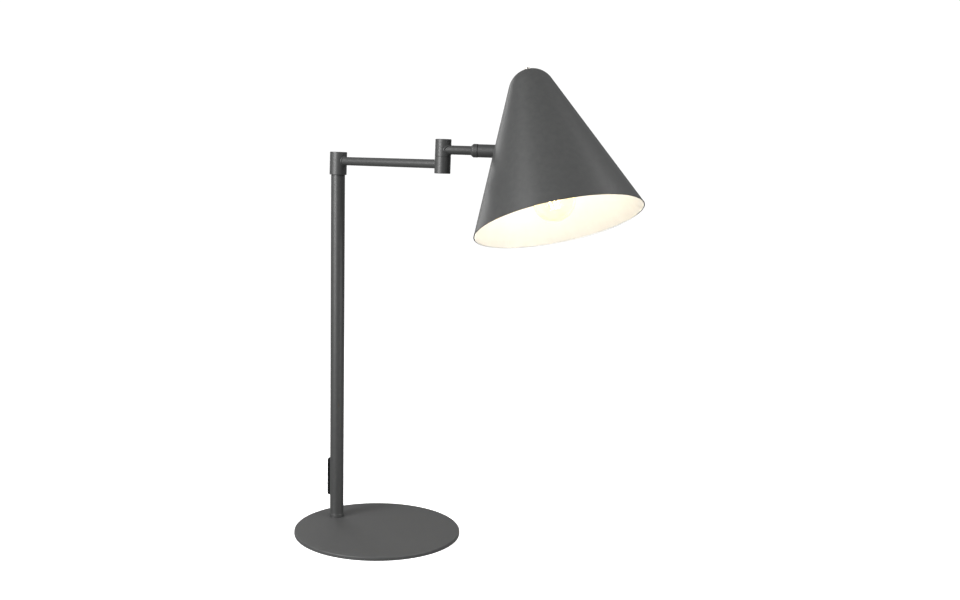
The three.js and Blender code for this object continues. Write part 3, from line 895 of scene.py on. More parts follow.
def circle_of(name: str, axis: Axis, look: Look, sides: int, **sizes: float) -> Piece:
    """Repeats a small upright cylinder round an axis with Geometry Nodes.

    Args:
        name: The piece's name.
        axis: Where its centre is.
        look: Its finish.
        sides: Corners of the cylinder.
        sizes: The tree's inputs Count, Ring, Height, Radius and Depth.

    Returns:
        The object, as one plain mesh.
    """
    graph = Graph(name, sizes)
    size = graph.inputs
    circle = graph.put("GeometryNodeMeshCircle", {"Vertices": size["Count"],
                                                  "Radius": size["Ring"]})
    raised = graph.put("GeometryNodeSetPosition", {"Geometry": circle,
                                                   "Offset": graph.along("Z", size["Height"])})
    place = graph.put("GeometryNodeInputPosition", {})
    flat = graph.put("ShaderNodeVectorMath", {0: place, 1: (1, 1, 0)}, operation="MULTIPLY")
    facing = graph.put("FunctionNodeAlignRotationToVector", {"Vector": flat}, axis="X",
                       pivot_axis="Z")
    copies = graph.put("GeometryNodeInstanceOnPoints", {
        "Points": raised, "Instance": graph.cylinder(sides), "Rotation": facing})
    return graph.finish(copies, axis, look)


def thread_of(name: str, axis: Axis, look: Look, **sizes: float) -> Piece:
    """Winds a round ridge as a helix with Geometry Nodes, for a screw shell.

    Args:
        name: The piece's name.
        axis: The screw's axis.
        look: Its finish.
        sizes: The tree's inputs Turns, Radius, Low, Pitch and Ridge.

    Returns:
        The object.
    """
    graph = Graph(name, sizes)
    size = graph.inputs
    spiral = graph.put("GeometryNodeCurveSpiral", {
        "Resolution": 32, "Rotations": size["Turns"], "Start Radius": size["Radius"],
        "End Radius": size["Radius"], "Height": size["Turns"] * size["Pitch"]})
    raised = graph.put("GeometryNodeSetPosition", {"Geometry": spiral,
                                                   "Offset": graph.along("Z", size["Low"])})
    section = graph.put("GeometryNodeCurvePrimitiveCircle", {"Resolution": 10,
                                                             "Radius": size["Ridge"]})
    wound = graph.put("GeometryNodeCurveToMesh", {"Curve": raised, "Profile Curve": section,
                                                  "Fill Caps": True})
    return graph.finish(wound, axis, look, crease=60)


def row_of(name: str, axis: Axis, look: Look, **sizes: float) -> Piece:
    """Lays a row of low round-topped bars along local X with Geometry Nodes.

    Args:
        name: The piece's name.
        axis: Where the row's middle is; the bars lie across it and stand up along it.
        look: Its finish.
        sizes: The tree's inputs Count, Start, Pitch, Radius and Depth.

    Returns:
        The object.
    """
    graph = Graph(name, sizes)
    size = graph.inputs
    line = graph.put("GeometryNodeMeshLine", {
        "Count": size["Count"], "Start Location": graph.along("X", size["Start"]),
        "Offset": graph.along("X", size["Pitch"])}, mode="OFFSET")
    laid = graph.put("GeometryNodeTransform", {"Geometry": graph.cylinder(12),
                                               "Rotation": (math.pi / 2, 0, 0)})
    copies = graph.put("GeometryNodeInstanceOnPoints", {"Points": line, "Instance": laid})
    return graph.finish(copies, axis, look)


# ------------------------------------------------------------------------------ sub-assemblies
@dataclass
class Assembly:
    """A sub-assembly of the lamp, most of whose pieces ride on one body."""

    layout: Layout
    body: ClassVar[Body] = Body.STAND

    def keep(self, piece: Piece, look: Look, node: str = "", body: Body | None = None) -> None:
        """Fixes a piece to a body and hides the frame node that it replaces.

        Args:
            piece: The piece.
            look: Its finish; not used.
            node: The frame node it stands for, if any.
            body: The body it moves with, if it isn't the sub-assembly's own.
        """
        body = body or self.body
        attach(piece, body.value)
        if node:
            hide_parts(node)
        log.info("%s rides on %s, %d faces", piece.name, body.value, len(piece.data.polygons))

    def turn(self, name: str, corners: Sequence[Corner], axis: Axis, node: str = "",
             look: Look = Look.COAT, cuts: Sequence[Piece] = (), **how: int) -> None:
        """Makes a turned piece, cuts it and fixes it to the sub-assembly's body.

        Args:
            name: The piece's name.
            corners: Points as (radius, height, fillet radius).
            axis: The axis that it is turned about.
            node: The frame node it stands for, if any.
            look: Its finish.
            cuts: Closed shapes to cut out of it.
            how: The segments, closed and steps of turned().
        """
        self.keep(cut(turned(name, corners, axis, look, **how), cuts), look, node)


@dataclass
class Base(Assembly):
    """The round steel plate with its rubber pad."""

    rim_width: float = 5.0
    rim_low: float = 0.15
    edge: float = 1.0
    groove: float = 0.35
    groove_widths: Point = (0.9, 1.2)
    groove_rings: tuple[float, ...] = (22.0, 52.0, 84.0)
    head: float = 5.9
    shank: float = 3.3
    dowel: float = 1.5
    dowel_out: float = 7.0

    def build(self) -> None:
        """Builds the plate and the pad."""
        post, middle = self.layout.post, centre_of("base_plate")
        axis = Axis.through(Vector((middle.x, middle.y, 0)), UP, Vector((1, 0, 0)))
        plate, pad = gauge("base_plate", axis), gauge("base_pad", axis)
        recess, top, floor = plate.radius - self.rim_width, plate.high, pad.high
        corners = [(0, floor, 0), (recess, floor, 0), (recess, self.rim_low, 0),
                   (plate.radius, self.rim_low, 0.5), (plate.radius, top, self.edge),
                   (plate.radius * 0.6, top, 0), (0, top, 0)]
        sink = [(0, floor - 2, 0), (self.head, floor - 2, 0), (self.head, floor + 0.2, 0),
                (self.shank, top - 0.2, 0), (self.shank, top + 2, 0), (0, top + 2, 0)]
        aside = Axis(post.point(self.dowel_out, 0, 0), post.along, post.side)
        # The disc's coat is made lighter as painted light on the base's top.
        self.turn("base_disc", corners, axis, "base_plate", Look.BASE_COAT_WITH_PAINTED_LIGHT, segments=192, steps=6,
                  cuts=[turned("sink", sink, post, Look.COAT, 48),
                        bar(aside, self.dowel, 0, top + 2, 24)])
        narrow, wide = self.groove_widths
        outline: list[Corner] = [(0, 0, 0)]
        for at in self.groove_rings:
            outline += [(at - wide, 0, 0.1), (at - narrow, self.groove, 0.1),
                        (at + narrow, self.groove, 0.1), (at + wide, 0, 0.1)]
        outline += [(pad.radius, 0, 0.25), (pad.radius, floor, 0.1), (0, floor, 0)]
        self.turn("base_foot_pad", outline, axis, "base_pad", Look.PAD, segments=160, steps=2)


@dataclass
class Post(Assembly):
    """The upright tube with its foot collar, its cord gland and the swivel's fixed parts."""

    wall: float = 1.0
    collar_fillet: float = 0.55
    slot_width: float = 9.6
    slot_spare: float = 2.0
    socket: float = 2.9
    screw_hole: float = 3.06
    gland_hole: float = 3.65
    gland_neck: float = 3.6
    gland_bore: float = 2.2
    gland_start: float = 5.9
    gland_lip: float = 0.6

    def build(self) -> None:
        """Builds the tube, its foot and the gland, and dresses the parts inside it."""
        axis = self.layout.post
        tube, foot = gauge("post_tube", axis), gauge("post_foot", axis)
        inner = tube.radius - self.wall
        low, high = (corner[2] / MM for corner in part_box("switch_housing"))
        window = pill(high - low - 2 * self.slot_spare, self.slot_width, 1.0)
        middle = centre_of("cord_gland")
        centre = Vector((axis.origin.x, axis.origin.y, middle.z))
        gland = Axis.through(centre, middle - centre, UP)
        self.turn("post_upright", ring(inner, tube.radius, tube.low, tube.high, (0, 0, 0.3, 0.2)),
                  axis, "post_tube", closed=True,
                  cuts=[slab("slot", window, 2.0, 14.0, self.layout.switch, Look.COAT),
                        bar(gland, self.gland_hole, 2, 14, 32)])
        collar, spigot = tube.low, inner - 0.05
        corners = [(0, foot.low, 0), (foot.radius, foot.low, 0.25),
                   (foot.radius, collar, self.collar_fillet), (spigot, collar, 0),
                   (spigot, foot.high, 0.5), (self.socket, foot.high, 0),
                   (self.socket, foot.high - 1, 0), (0, foot.high - 1, 0)]
        self.turn("post_foot_collar", corners, axis, "post_foot",
                  cuts=[bar(axis, self.screw_hole, foot.low - 2, foot.high - 2, 32)])
        flange, face = gauge("cord_gland", gland), tube.radius - self.gland_lip
        corners = [(self.gland_bore, self.gland_start, 0), (self.gland_neck, self.gland_start, 0),
                   (self.gland_neck, face, 0), (flange.radius, face, 0),
                   (flange.radius, flange.high, 0.45), (self.gland_bore, flange.high, 0.3)]
        self.turn("cord_grommet", corners, gland, "cord_gland", Look.RUBBER, segments=48,
                  closed=True)
        dress(Look.STEEL, "foot_screw", "foot_dowel", "post_bush")
        dress(Look.NYLON, "swivel_washer")
        dress(Look.SHEATH, "lead_inlet", "lead_post")


@dataclass
class SwitchUnit(Assembly):
    """The rocker switch let into the back of the post."""

    width: float = 11.0
    corner: float = 3.5
    edge: float = 1.6
    neck: Point = (5.0, 9.0)
    rocker_length: float = 22.0
    rocker_width: float = 6.4
    rocker_gap: float = 0.4
    rocker_edge: float = 0.35
    tilt: float = 5.0
    rise: float = 1.6
    depth: float = 1.6
    rib: float = 0.32
    rib_place: float = 0.72

    def build(self) -> None:
        """Builds the housing and the rocker, and dresses the terminals."""
        self.housing()
        self.rocker()
        dress(Look.BRASS, "switch_terminal_upper", "switch_terminal_lower")

    def window(self, low: float) -> Piece:
        """Returns a block to cut the rocker's opening with, from a distance outwards."""
        length, width = (v + 2 * self.rocker_gap for v in (self.rocker_length, self.rocker_width))
        return slab("window", pill(length, width, 0.5, 4), low, 16.0, self.layout.switch,
                    Look.PLASTIC)

    def housing(self) -> None:
        """Builds the housing with its neck inside the post."""
        axis, post = self.layout.switch, self.layout.post
        low, high = (corner[2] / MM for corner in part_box("switch_housing"))
        length, (shorter, neck_width) = high - low, self.neck
        body = slab("switch_body", pill(length, self.width, self.corner, 10), 0.9,
                    gauge("switch_housing", axis).high, axis, Look.PLASTIC, self.edge, steps=5)
        hollow = bar(post, gauge("post_tube", post).radius + 0.03, low - 9, high + 9, 96)
        cut(body, [hollow, self.window(5.0)])
        neck = slab("neck", pill(length - shorter, neck_width, 0.6, 4), 1.0, 8.0, axis,
                    Look.PLASTIC)
        cut(neck, [self.window(7.9)])
        self.keep(joined(body, neck), Look.PLASTIC, "switch_housing")

    def rocker(self) -> None:
        """Builds the rocker, pressed at one end, with grip ribs at both."""
        out, side = self.layout.switch.along, self.layout.switch.side
        across = side.cross(out)
        rock = Axis.through(joint("switch_rock")[0], across, side)
        turn = math.radians(self.tilt)
        cos, sin = math.cos(turn), math.sin(turn)
        half, rise = self.rocker_length / 2, self.rise
        lift = half * math.tan(turn)

        def tipped(u: float, v: float) -> Point:
            """Returns a point of the level rocker as it lies when tipped."""
            return u * cos + v * sin, v * cos - u * sin

        key = [(-half, rise + lift), (-half, -0.5), (-half / 3, -self.depth),
               (half / 3, -self.depth), (half, -0.5), (half, rise + lift),
               (half * 0.1, rise + 0.1 * lift), (-half * 0.1, rise + 0.1 * lift)]
        reach = self.rocker_width / 2
        rocker = slab("rocker_key", [tipped(u, v) for u, v in key], -reach, reach, rock,
                      Look.PLASTIC)
        bevel = rocker.modifiers.new("edges", "BEVEL")
        bevel.width, bevel.segments, bevel.limit_method = self.rocker_edge * MM, 3, "ANGLE"
        rocker.data = plain(rocker, bevel)
        ribs = []
        for end in (-1, 1):
            slope = Vector(tipped(*Vector((1, end * math.tan(turn))).normalized()))
            at = tipped(end * half * self.rib_place, rise + self.rib_place * lift)
            run = side * slope.x + out * slope.y
            stand = Axis.through(rock.point(*at, 0), run.cross(across) * -1, run)
            ribs.append(row_of("grip", stand, Look.PLASTIC, Count=4, Start=-1.8, Pitch=1.2,
                               Depth=self.rocker_width - 1.6, Radius=self.rib))
        self.keep(joined(rocker, *ribs), Look.PLASTIC, "switch_rocker", Body.ROCKER)


@dataclass
class Arm(Assembly):
    """What the two arms share: thin tubes, and the cups and covers of the elbow."""

    wall: float = 1.0
    edge: float = 0.6
    bore: float = 6.5
    web: float = 2.6
    bead: float = 1.0
    seam_edge: float = 0.12
    cover_edge: float = 0.3

    def cover(self, name: str, node: str) -> None:
        """Builds the thin disc that closes one end of the elbow."""
        axis, plug = self.layout.elbow, gauge(node, self.layout.elbow)
        fillets = (0, self.cover_edge, self.cover_edge, 0)
        corners = ring(0, plug.radius, plug.low, plug.high, fillets)
        self.turn(name, corners, axis, node, segments=64)

    def weld(self, name: str, tube: Axis, radius: float, reach: Point, bar_axis: Axis,
             bar_radius: float) -> None:
        """Builds the weld where a tube meets a cup, from weld_bead()'s arguments."""
        bead = weld_bead(name, tube, radius, reach, bar_axis, bar_radius, self.bead)
        self.keep(bead, Look.COAT)


@dataclass
class SwivelArm(Arm):
    """The first arm: the cap that turns on the post, the tube and the elbow's lower half."""

    body: ClassVar[Body] = Body.FIRST_ARM
    recess: float = 8.4
    skirt: float = 0.75
    roof: float = 2.6
    screw_hole: float = 1.6
    cap_entry: float = 1.6
    elbow_entry: float = 1.4

    def build(self) -> None:
        """Builds the cap, the tube, the welds and the lower cup."""
        swivel, arm, elbow = self.layout.swivel, self.layout.arm_one, self.layout.elbow
        cap, screw = gauge("swivel_cap", swivel), gauge("swivel_screw", swivel)
        tube, lower = gauge("arm_1_tube", arm), gauge("elbow_lower", elbow)
        inner = tube.radius - self.wall
        side = Axis.through(swivel.point(0, 0, screw.middle), -swivel.side, swivel.along)
        step, roof = cap.low + self.skirt, cap.high - self.roof
        corners = [(0, roof, 0), (self.bore, roof, 0.4), (self.bore, step, 0.3),
                   (self.recess, step, 0), (self.recess, cap.low, 0.1),
                   (cap.radius, cap.low, 0.25), (cap.radius, cap.high, self.edge),
                   (0, cap.high, 0)]
        self.turn("swivel_head", corners, swivel, "swivel_cap", segments=112,
                  cuts=[bar(arm, inner, 2, 20, 32), bar(side, self.screw_hole, 2, 20, 24)])
        reach = (elbow.origin - swivel.origin).dot(arm.along) / MM
        corners = ring(inner, tube.radius, cap.radius - self.cap_entry,
                       reach - lower.radius + self.elbow_entry)
        self.turn("first_arm_tube", corners, arm, "arm_1_tube", segments=64, closed=True)
        self.weld("weld_at_swivel", arm, tube.radius, (24.0, 0.0), swivel, cap.radius)
        self.weld("weld_at_elbow", arm, tube.radius, (reach - 20, reach), elbow, lower.radius)
        seam, low = lower.high, lower.low
        web = seam - self.web
        corners = [(PIVOT_BORE, web, 0), (PIVOT_BORE, seam, 0),
                   (lower.radius, seam, self.seam_edge), (lower.radius, low, self.edge),
                   (self.bore, low, 0.2), (self.bore, web, 0.3)]
        self.turn("elbow_lower_half", corners, elbow, "elbow_lower", closed=True,
                  cuts=[bar(arm, inner, reach - 20, reach - 2, 32),
                        pin_bar("elbow_stop_pin", elbow, web - 1, seam + 1)])
        self.cover("elbow_lower_cover", "elbow_lower_plug")
        dress(Look.DARK_SCREW, "swivel_screw")
        dress(Look.STEEL, "elbow_pivot", "elbow_stop_pin", "elbow_washer", "elbow_nut")
        dress(Look.SHEATH, "lead_arm_1")


@dataclass
class ShadeArm(Arm):
    """The second arm: the elbow's upper half, the tube and the collar that the shade turns in."""

    body: ClassVar[Body] = Body.SECOND_ARM
    track_gap: float = 0.25
    seam_inset: float = 0.45
    seam_gap: float = 0.02
    sunk: float = 0.6
    shoulder: float = 2.4
    collar_bore: float = 4.05
    collar_step: float = 0.8

    def build(self) -> None:
        """Builds the upper cup, the tube, the weld and the collar."""
        elbow, arm = self.layout.elbow, self.layout.arm_two
        upper, tube = gauge("elbow_upper", elbow), gauge("arm_2_tube", arm)
        seam, web = upper.low, upper.low + self.web
        inner = tube.radius - self.wall
        corners = [(PIVOT_BORE, seam, 0), (PIVOT_BORE, web, 0), (self.bore, web, 0.3),
                   (self.bore, upper.high, 0.2), (upper.radius, upper.high, self.edge),
                   (upper.radius, seam, self.seam_edge)]
        groove = gauge("elbow_stop_pin", elbow).radius + self.track_gap
        self.turn("elbow_upper_half", corners, elbow, "elbow_upper", closed=True,
                  cuts=[bar(arm, inner, 2, 20, 32), track(groove, elbow, seam)])
        self.cover("elbow_upper_cover", "elbow_upper_plug")
        self.turn("second_arm_tube", ring(inner, tube.radius, 0.5, tube.high), arm, "arm_2_tube",
                  segments=64, closed=True,
                  cuts=[bar(elbow, upper.radius - self.sunk, seam - 9, upper.high + 9, 96)])
        self.weld("weld_at_second_arm", arm, tube.radius, (20.0, 0.0), elbow, upper.radius)
        below = gauge("elbow_lower", elbow).high
        corners = ring(groove, upper.radius - self.seam_inset, below + self.seam_gap,
                       seam - self.seam_gap)
        self.turn("elbow_seam_washer", corners, elbow, look=Look.NYLON, closed=True)
        collar = gauge("arm_collar", arm)
        low, high, fit = collar.low, collar.high, tube.radius + 0.02
        corners = [(fit, low, 0), (tube.radius + 0.4, low, 0.15),
                   (collar.radius, low + self.shoulder, 1.3), (collar.radius, high, 0.12),
                   (self.collar_bore, high, 0), (self.collar_bore, low + self.collar_step, 0),
                   (fit, low + self.collar_step, 0)]
        self.turn("shade_collar", corners, arm, "arm_collar", closed=True,
                  cuts=[pin_bar("shade_stop_pin", arm, high - 2.8, high + 2)])
        dress(Look.STEEL, "shade_pivot", "shade_stop_pin", "shade_washer", "shade_nut")
        dress(Look.SHEATH, "lead_arm_2")


@dataclass
class Shade(Assembly):
    """The conical shade with its sleeve, its hanger and the lampholder inside it."""

    body: ClassVar[Body] = Body.SHADE
    half_angle: float = 22.97
    dome: float = 26.0
    wall: float = 1.2
    hole: float = 2.2
    vent: float = 1.2
    vent_ring: float = 5.4
    vents: int = 6
    clearance: float = 0.3
    segments: int = 192
    rows: int = 26
    arcs: int = 18
    sleeve_web: float = 2.8
    sleeve_bore: float = 6.2
    track_gap: float = 0.2
    stud_thread: float = 1.95
    screw_shank: float = 1.8
    screw_slot: Point = (10.0, 0.8)
    holder_bore: float = 9.4
    holder_wire: float = 3.0
    holder_ribs: int = 30
    rib: float = 0.6

    def profile(self, inset: float, span: Span) -> list[Point]:
        """Returns one side of the shell from the rim to the crown hole.

        Args:
            inset: Distance in from the outside.
            span: The shell's measure about its axis.

        Returns:
            The points as (radius, height).
        """
        lean = math.radians(self.half_angle)
        centre, radius = span.high - self.dome, self.dome - inset
        rim = (span.radius - inset / math.cos(lean), span.low)
        top = (radius * math.cos(lean), centre + radius * math.sin(lean))
        points = []
        for k in range(self.rows):
            share = k / self.rows
            points.append((rim[0] + (top[0] - rim[0]) * share, rim[1] + (top[1] - rim[1]) * share))
        end = math.acos(self.hole / radius)
        for k in range(self.arcs + 1):
            angle = lean + (end - lean) * k / self.arcs
            points.append((radius * math.cos(angle), centre + radius * math.sin(angle)))
        return points

    def shell(self) -> None:
        """Builds the spun shell: coat outside, enamel inside, its vents and the sleeve's entry."""
        axis, arm = self.layout.shade, self.layout.arm_two
        span = gauge("shade_shell", axis)
        outside, inside = self.profile(0, span), self.profile(self.wall, span)
        lip = self.wall * 0.32
        (ox, oz), (ix, iz) = outside[0], inside[0]
        rim = [(ix + 0.12 * lip, iz + 0.3 * lip), (ix + lip, iz), (ox - lip, oz),
               (ox - 0.1 * lip, oz + 0.4 * lip)]
        outline = [*reversed(inside[1:]), *rim, *outside[1:]]
        zones = [int(i < len(inside)) for i in range(len(outline))]
        mesh = turned_mesh("shade_cone", outline, self.segments, zones)
        cone = finished("shade_cone", mesh, axis, Look.SHADE_COAT, Look.ENAMEL)
        crossing = (axis.origin - arm.origin).dot(arm.along) / MM
        entry = bar(arm, gauge("shade_sleeve", arm).radius + self.clearance, crossing - 80,
                    crossing - 25)
        holes = circle_of("vents", axis, Look.SHADE_COAT, 20, Count=self.vents,
                          Ring=self.vent_ring, Height=span.high, Radius=self.vent, Depth=20.0)
        self.keep(cut(cone, [entry, holes]), Look.SHADE_COAT, "shade_shell")

    def fittings(self) -> None:
        """Builds the sleeve that turns on the second arm, and the crown's screw and hanger."""
        arm, axis = self.layout.arm_two, self.layout.shade
        sleeve = gauge("shade_sleeve", arm)
        web, bore = sleeve.low + self.sleeve_web, self.sleeve_bore
        corners = [(PIVOT_BORE, sleeve.low, 0), (sleeve.radius, sleeve.low, 0.12),
                   (sleeve.radius, sleeve.high, 0.4), (bore, sleeve.high, 0.2),
                   (bore, web, 0.3), (PIVOT_BORE, web, 0)]
        groove = gauge("shade_stop_pin", arm).radius + self.track_gap
        self.turn("shade_turning_sleeve", corners, arm, "shade_sleeve", closed=True,
                  cuts=[track(groove, arm, sleeve.low)])
        hanger, screw, shell = (gauge(node, axis)
                                for node in ("hanger_rod", "apex_screw", "shade_shell"))
        floor, seat = screw.low - 2.5, shell.high + 0.1
        corners = [(0, hanger.low, 0), (hanger.radius, hanger.low, 0.3),
                   (hanger.radius, hanger.high, 0.3), (self.stud_thread, hanger.high, 0),
                   (self.stud_thread, floor, 0), (0, floor, 0)]
        self.turn("hanger_stud", corners, axis, "hanger_rod", Look.STEEL, segments=48)
        corners = [(0, screw.low, 0), (self.screw_shank, screw.low, 0.3),
                   (self.screw_shank, seat, 0), (screw.radius, seat, 0.15),
                   (screw.radius, screw.high, 0.7), (0, screw.high, 0)]
        x, y = (v / 2 for v in self.screw_slot)
        slot = slab("slot", [(-x, -y), (x, -y), (x, y), (-x, y)], screw.high - 0.8,
                    screw.high + 2, axis, Look.SCREW)
        self.turn("crown_screw", corners, axis, "apex_screw", Look.SCREW, [slot], segments=48)
        dress(Look.NYLON, "groove_washer")

    def holder(self) -> None:
        """Builds the lampholder, ribbed round its skirt, and dresses its contacts."""
        axis = self.layout.shade
        body, cap = gauge("lampholder_body", axis), gauge("lampholder_cap", axis)
        bore, wire = self.holder_bore, self.holder_wire
        web, skirt = body.high - 11, body.radius - 0.55
        corners = [(bore, body.low, 0.3), (skirt, body.low, 0.8), (skirt, body.high - 6, 0.2),
                   (body.radius, body.high - 5.4, 0.2), (body.radius, body.high, 0.3),
                   (wire, body.high, 0.2), (wire, web, 0.2), (bore, web, 0.5)]
        socket = turned("lampholder_skirt", corners, axis, Look.HOLDER, closed=True)
        start = body.low + 2.5
        length = body.high - 8 - start
        ribs = circle_of("ribs", axis, Look.HOLDER, 10, Count=self.holder_ribs, Ring=skirt - 0.05,
                         Height=start + length / 2, Radius=self.rib, Depth=length)
        self.keep(joined(socket, ribs), Look.HOLDER, "lampholder_body")
        low, high, radius = cap.low, cap.high, cap.radius
        corners = [(0, low, 0), (radius, low, 0.3), (radius, low + 4.9, 0.8),
                   (radius - 2.5, high - 3, 1.0), (radius - 5.5, high, 0.8), (0, high, 0)]
        lead = Axis.through(axis.point(0, 0, low + 3.4), -axis.side, axis.along)
        hanger = gauge("hanger_rod", axis)
        self.turn("lampholder_dome", corners, axis, "lampholder_cap", Look.HOLDER,
                  [bar(axis, hanger.radius + 0.05, hanger.low - 0.1, high + 3, 48),
                   bar(lead, 1.9, 0, 20, 24)])
        dress(Look.BRASS, "lampholder_shell", "lampholder_contact")
        dress(Look.SHEATH, "lead_shade")

    def build(self) -> None:
        """Builds the whole shade."""
        self.shell()
        self.fittings()
        self.holder()


@dataclass
class Bulb(Assembly):
    """The globe bulb: glass, stem, glowing filaments and screw cap."""

    body: ClassVar[Body] = Body.SHADE
    radius: float = 22.5
    glass: float = 0.6
    neck: float = 5.8
    blend: float = 9.0
    skirt: float = 6.45
    skirt_wall: float = 0.5
    contact_bore: float = 2.0
    thread_start: float = 4.2
    ridge: float = 0.42
    pitch: float = 2.8
    stem: float = 1.2
    filaments: int = 4

    def globe(self, centre: float, top: float, inset: float) -> list[Point]:
        """Returns the globe's outline from its lowest point to its neck.

        Args:
            centre: Height of the globe's centre.
            top: Height that the neck ends at.
            inset: Distance in from the outside.

        Returns:
            The points as (radius, height).
        """
        big, small = self.radius - inset, self.blend + inset
        reach = math.acos((self.neck + self.blend) / (self.radius + self.blend))
        level = centre + (self.radius + self.blend) * math.sin(reach)
        points = [(big * math.cos(a), centre + big * math.sin(a))
                  for a in np.linspace(-math.pi / 2, reach, 40)]
        points[0] = (0.0, centre - big)
        for a in (math.pi + reach - reach * k / 10 for k in range(1, 11)):
            points.append((self.neck + self.blend + small * math.cos(a),
                           level + small * math.sin(a)))
        points.append((self.neck - inset, top))
        return points

    def build(self) -> None:
        """Builds the bulb's pieces."""
        axis = self.layout.shade
        glass, cap = gauge("bulb_glass", axis), gauge("bulb_cap", axis)
        centre = glass.low + self.radius
        outline = [*self.globe(centre, glass.high, 0),
                   *reversed(self.globe(centre, glass.high, self.glass))]
        globe = finished("bulb_globe", turned_mesh("bulb_globe", outline, 96), axis, Look.GLASS)
        self.keep(globe, Look.GLASS, "bulb_glass")

        low, high, skirt, seat = cap.low, cap.high, self.skirt, self.neck + 0.25
        inner, hole = skirt - self.skirt_wall, self.contact_bore
        corners = [(seat, low, 0.1), (cap.radius, low, 0.2), (cap.radius, low + 2.2, 0.5),
                   (skirt, low + 3.2, 0.2), (skirt, high - 3, 0.5), (2.8, high, 0.5),
                   (hole, high, 0), (hole, high - 0.8, 0), (inner, high - 3.4, 0.2),
                   (inner, low + 2.6, 0), (seat, low + 2.2, 0)]
        screw = turned("bulb_screw_cap", corners, axis, Look.NICKEL, 72, closed=True)
        start = low + self.thread_start
        thread = thread_of("thread", axis, Look.NICKEL, Turns=(high - 3.6 - start) / self.pitch,
                           Radius=skirt, Low=start, Pitch=self.pitch, Ridge=self.ridge)
        self.keep(joined(screw, thread, crease=40), Look.NICKEL, "bulb_cap")
        dress(Look.BRASS, "bulb_contact")

        stem = gauge("bulb_stem", axis)
        corners = [(0, stem.low, 0), (self.stem, stem.low, 0.6), (self.stem, stem.low + 13, 3),
                   (stem.radius, stem.high - 3, 2), (stem.radius, stem.high, 0.5),
                   (0, stem.high, 0)]
        self.turn("bulb_inner_stem", corners, axis, "bulb_stem", Look.STEM, segments=40, steps=8)
        for number in range(1, self.filaments + 1):
            node = f"bulb_filament_{number}"
            rod = long_axis(node, axis.along)
            span = gauge(node, rod)
            corners = ring(0, span.radius, span.low, span.high, (0, 0.5, 0.5, 0))
            self.turn(f"bulb_glow_{number}", corners, rod, node, Look.GLOWING, segments=14)


# ------------------------------------------------------------------------------ studio
@dataclass(frozen=True)
class Softbox:
    """An area light that faces the lamp.

    Its azimuth and elevation are degrees, the first from the camera's direction towards the
    camera's right. Its width and height are metres and its power is watts.
    """

    name: str
    azimuth: float
    elevation: float
    width: float
    height: float
    power: float

    def hang(self, heading: float, aim: Vector, distance: float) -> None:
        """Hangs the light.

        Args:
            heading: The camera's own direction in degrees.
            aim: The point that the light faces, in metres.
            distance: How far from it the light hangs, in metres.
        """
        across, up = math.radians(self.azimuth + heading), math.radians(self.elevation)
        away = Vector((math.sin(across) * math.cos(up), -math.cos(across) * math.cos(up),
                       math.sin(up)))
        data = bpy.data.lights.new(self.name, "AREA")
        data.shape, data.energy = "RECTANGLE", self.power
        data.size, data.size_y = self.width, self.height
        turn = away.to_track_quat("Z", "Y").to_matrix().to_4x4()
        linked(self.name, data).matrix_world = Matrix.Translation(aim + away * distance) @ turn


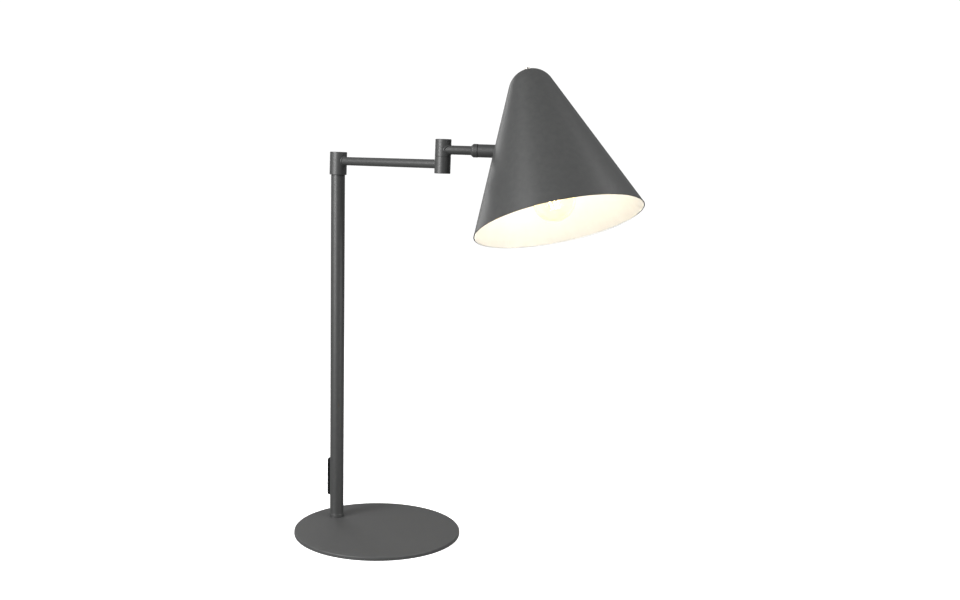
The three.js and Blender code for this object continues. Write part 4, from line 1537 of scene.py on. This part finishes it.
@dataclass
class Studio:
    """The floor, the lights and the camera."""

    layout: Layout
    floor_size: float = 60.0
    floor_glow: float = 0.85
    eye: Colour = (0.8223, -0.8976, 0.4196)
    heading: float = 40.435
    pitch: float = 5.93
    roll: float = 0.681
    lens: float = 38.64
    shift: Point = (0.0669, -0.0082)
    aim: Colour = (0.05, 0.02, 0.27)
    distance: float = 1.6
    room_seen: float = 0.8
    room_light: float = 0.253
    bulb_height: float = 24.5
    bulb_power: float = 0.25
    bulb_colour: Colour = (1.0, 0.965, 0.9)
    bulb_size: float = 0.012
    softboxes: tuple[Softbox, ...] = (
        Softbox("low_front", -36, 5, 0.2, 0.6, 4.5),
        Softbox("low_key", -52, 5, 0.2, 0.6, 4.1),
        Softbox("low_fill", 60, 5, 0.42, 0.8, 4.8),
        Softbox("key", -52, 18, 0.3, 0.6, 9.8),
        Softbox("side", -78, 18, 0.3, 0.6, 2.6),
        Softbox("front", -28, 30, 0.42, 0.8, 3.7),
        Softbox("fill", 60, 30, 0.42, 0.8, 5.9),
        Softbox("high_key", -60, 42, 0.3, 0.5, 10.2),
        Softbox("high_fill", 85, 42, 0.3, 0.5, 4.4),
        Softbox("rim", -152, 20, 0.42, 0.8, 2.2),
    )

    def camera(self) -> None:
        """Places the camera."""
        data = bpy.data.cameras.new("camera")
        data.sensor_width, data.lens = 36.0, self.lens
        data.shift_x, data.shift_y = self.shift
        data.clip_start, data.clip_end = 0.01, 200.0
        made = linked("camera", data)
        turns = ((self.heading, "Z"), (90 - self.pitch, "X"), (self.roll, "Z"))
        made.matrix_world = Matrix.Translation(self.eye)
        for angle, axis in turns:
            made.matrix_world = made.matrix_world @ Matrix.Rotation(math.radians(angle), 4, axis)
        bpy.context.scene.camera = made

    def floor(self) -> None:
        """Lays the pale floor."""
        mesh = bpy.data.meshes.new("floor")
        half = self.floor_size / 2
        corners = [(x * half, y * half, 0) for x, y in ((-1, -1), (1, -1), (1, 1), (-1, 1))]
        mesh.from_pydata(corners, [], [(0, 1, 2, 3)])
        look, tree, shader = blank("pale_floor")
        fill(tree, shader, {"Base Color": (0.9, 0.9, 0.9, 1), "Roughness": 0.9,
                            "Specular IOR Level": 0.1, "Emission Color": (1, 1, 1, 1),
                            "Emission Strength": self.floor_glow})
        mesh.materials.append(look)
        made = linked("floor", mesh)
        made.visible_diffuse = made.visible_glossy = False

    def surroundings(self) -> None:
        """Makes the room white behind the lamp and dimmer as a light."""
        world = bpy.data.worlds.new("studio")
        world.use_nodes = True
        tree = world.node_tree
        seen = add(tree, "ShaderNodeLightPath", {}, {}, "Is Camera Ray")
        fill(tree, tree.nodes["Background"], {"Strength": seen * self.room_seen + self.room_light,
                                              "Color": (1, 1, 1, 1)})
        bpy.context.scene.world = world

    def lamp_light(self) -> None:
        """Puts the lit bulb's light in its globe, on the shade's body."""
        axis, carrier = self.layout.shade, frame["bodies"][Body.SHADE.value]
        data = bpy.data.lights.new("bulb_light", "POINT")
        data.energy, data.color = self.bulb_power, self.bulb_colour
        data.shadow_soft_size = self.bulb_size
        made = linked("bulb_light", data)
        made.location = axis.point(0, 0, gauge("bulb_glass", axis).low + self.bulb_height)
        made.parent = carrier
        made.matrix_parent_inverse = carrier.matrix_world.inverted()

    def build(self) -> None:
        """Sets the whole studio up."""
        self.camera()
        self.floor()
        self.surroundings()
        for softbox in self.softboxes:
            softbox.hang(self.heading, Vector(self.aim), self.distance)
        self.lamp_light()
        bpy.context.scene.view_settings.view_transform = "Standard"


def main() -> None:
    """Builds the studio and the lamp."""
    logging.basicConfig(level=logging.INFO, format="%(name)s: %(message)s")
    layout = Layout.from_frame()
    for part in (Studio, Base, Post, SwitchUnit, SwivelArm, ShadeArm, Shade, Bulb):
        part(layout).build()
    bpy.context.view_layer.update()


if __name__ == "__main__":
    main()
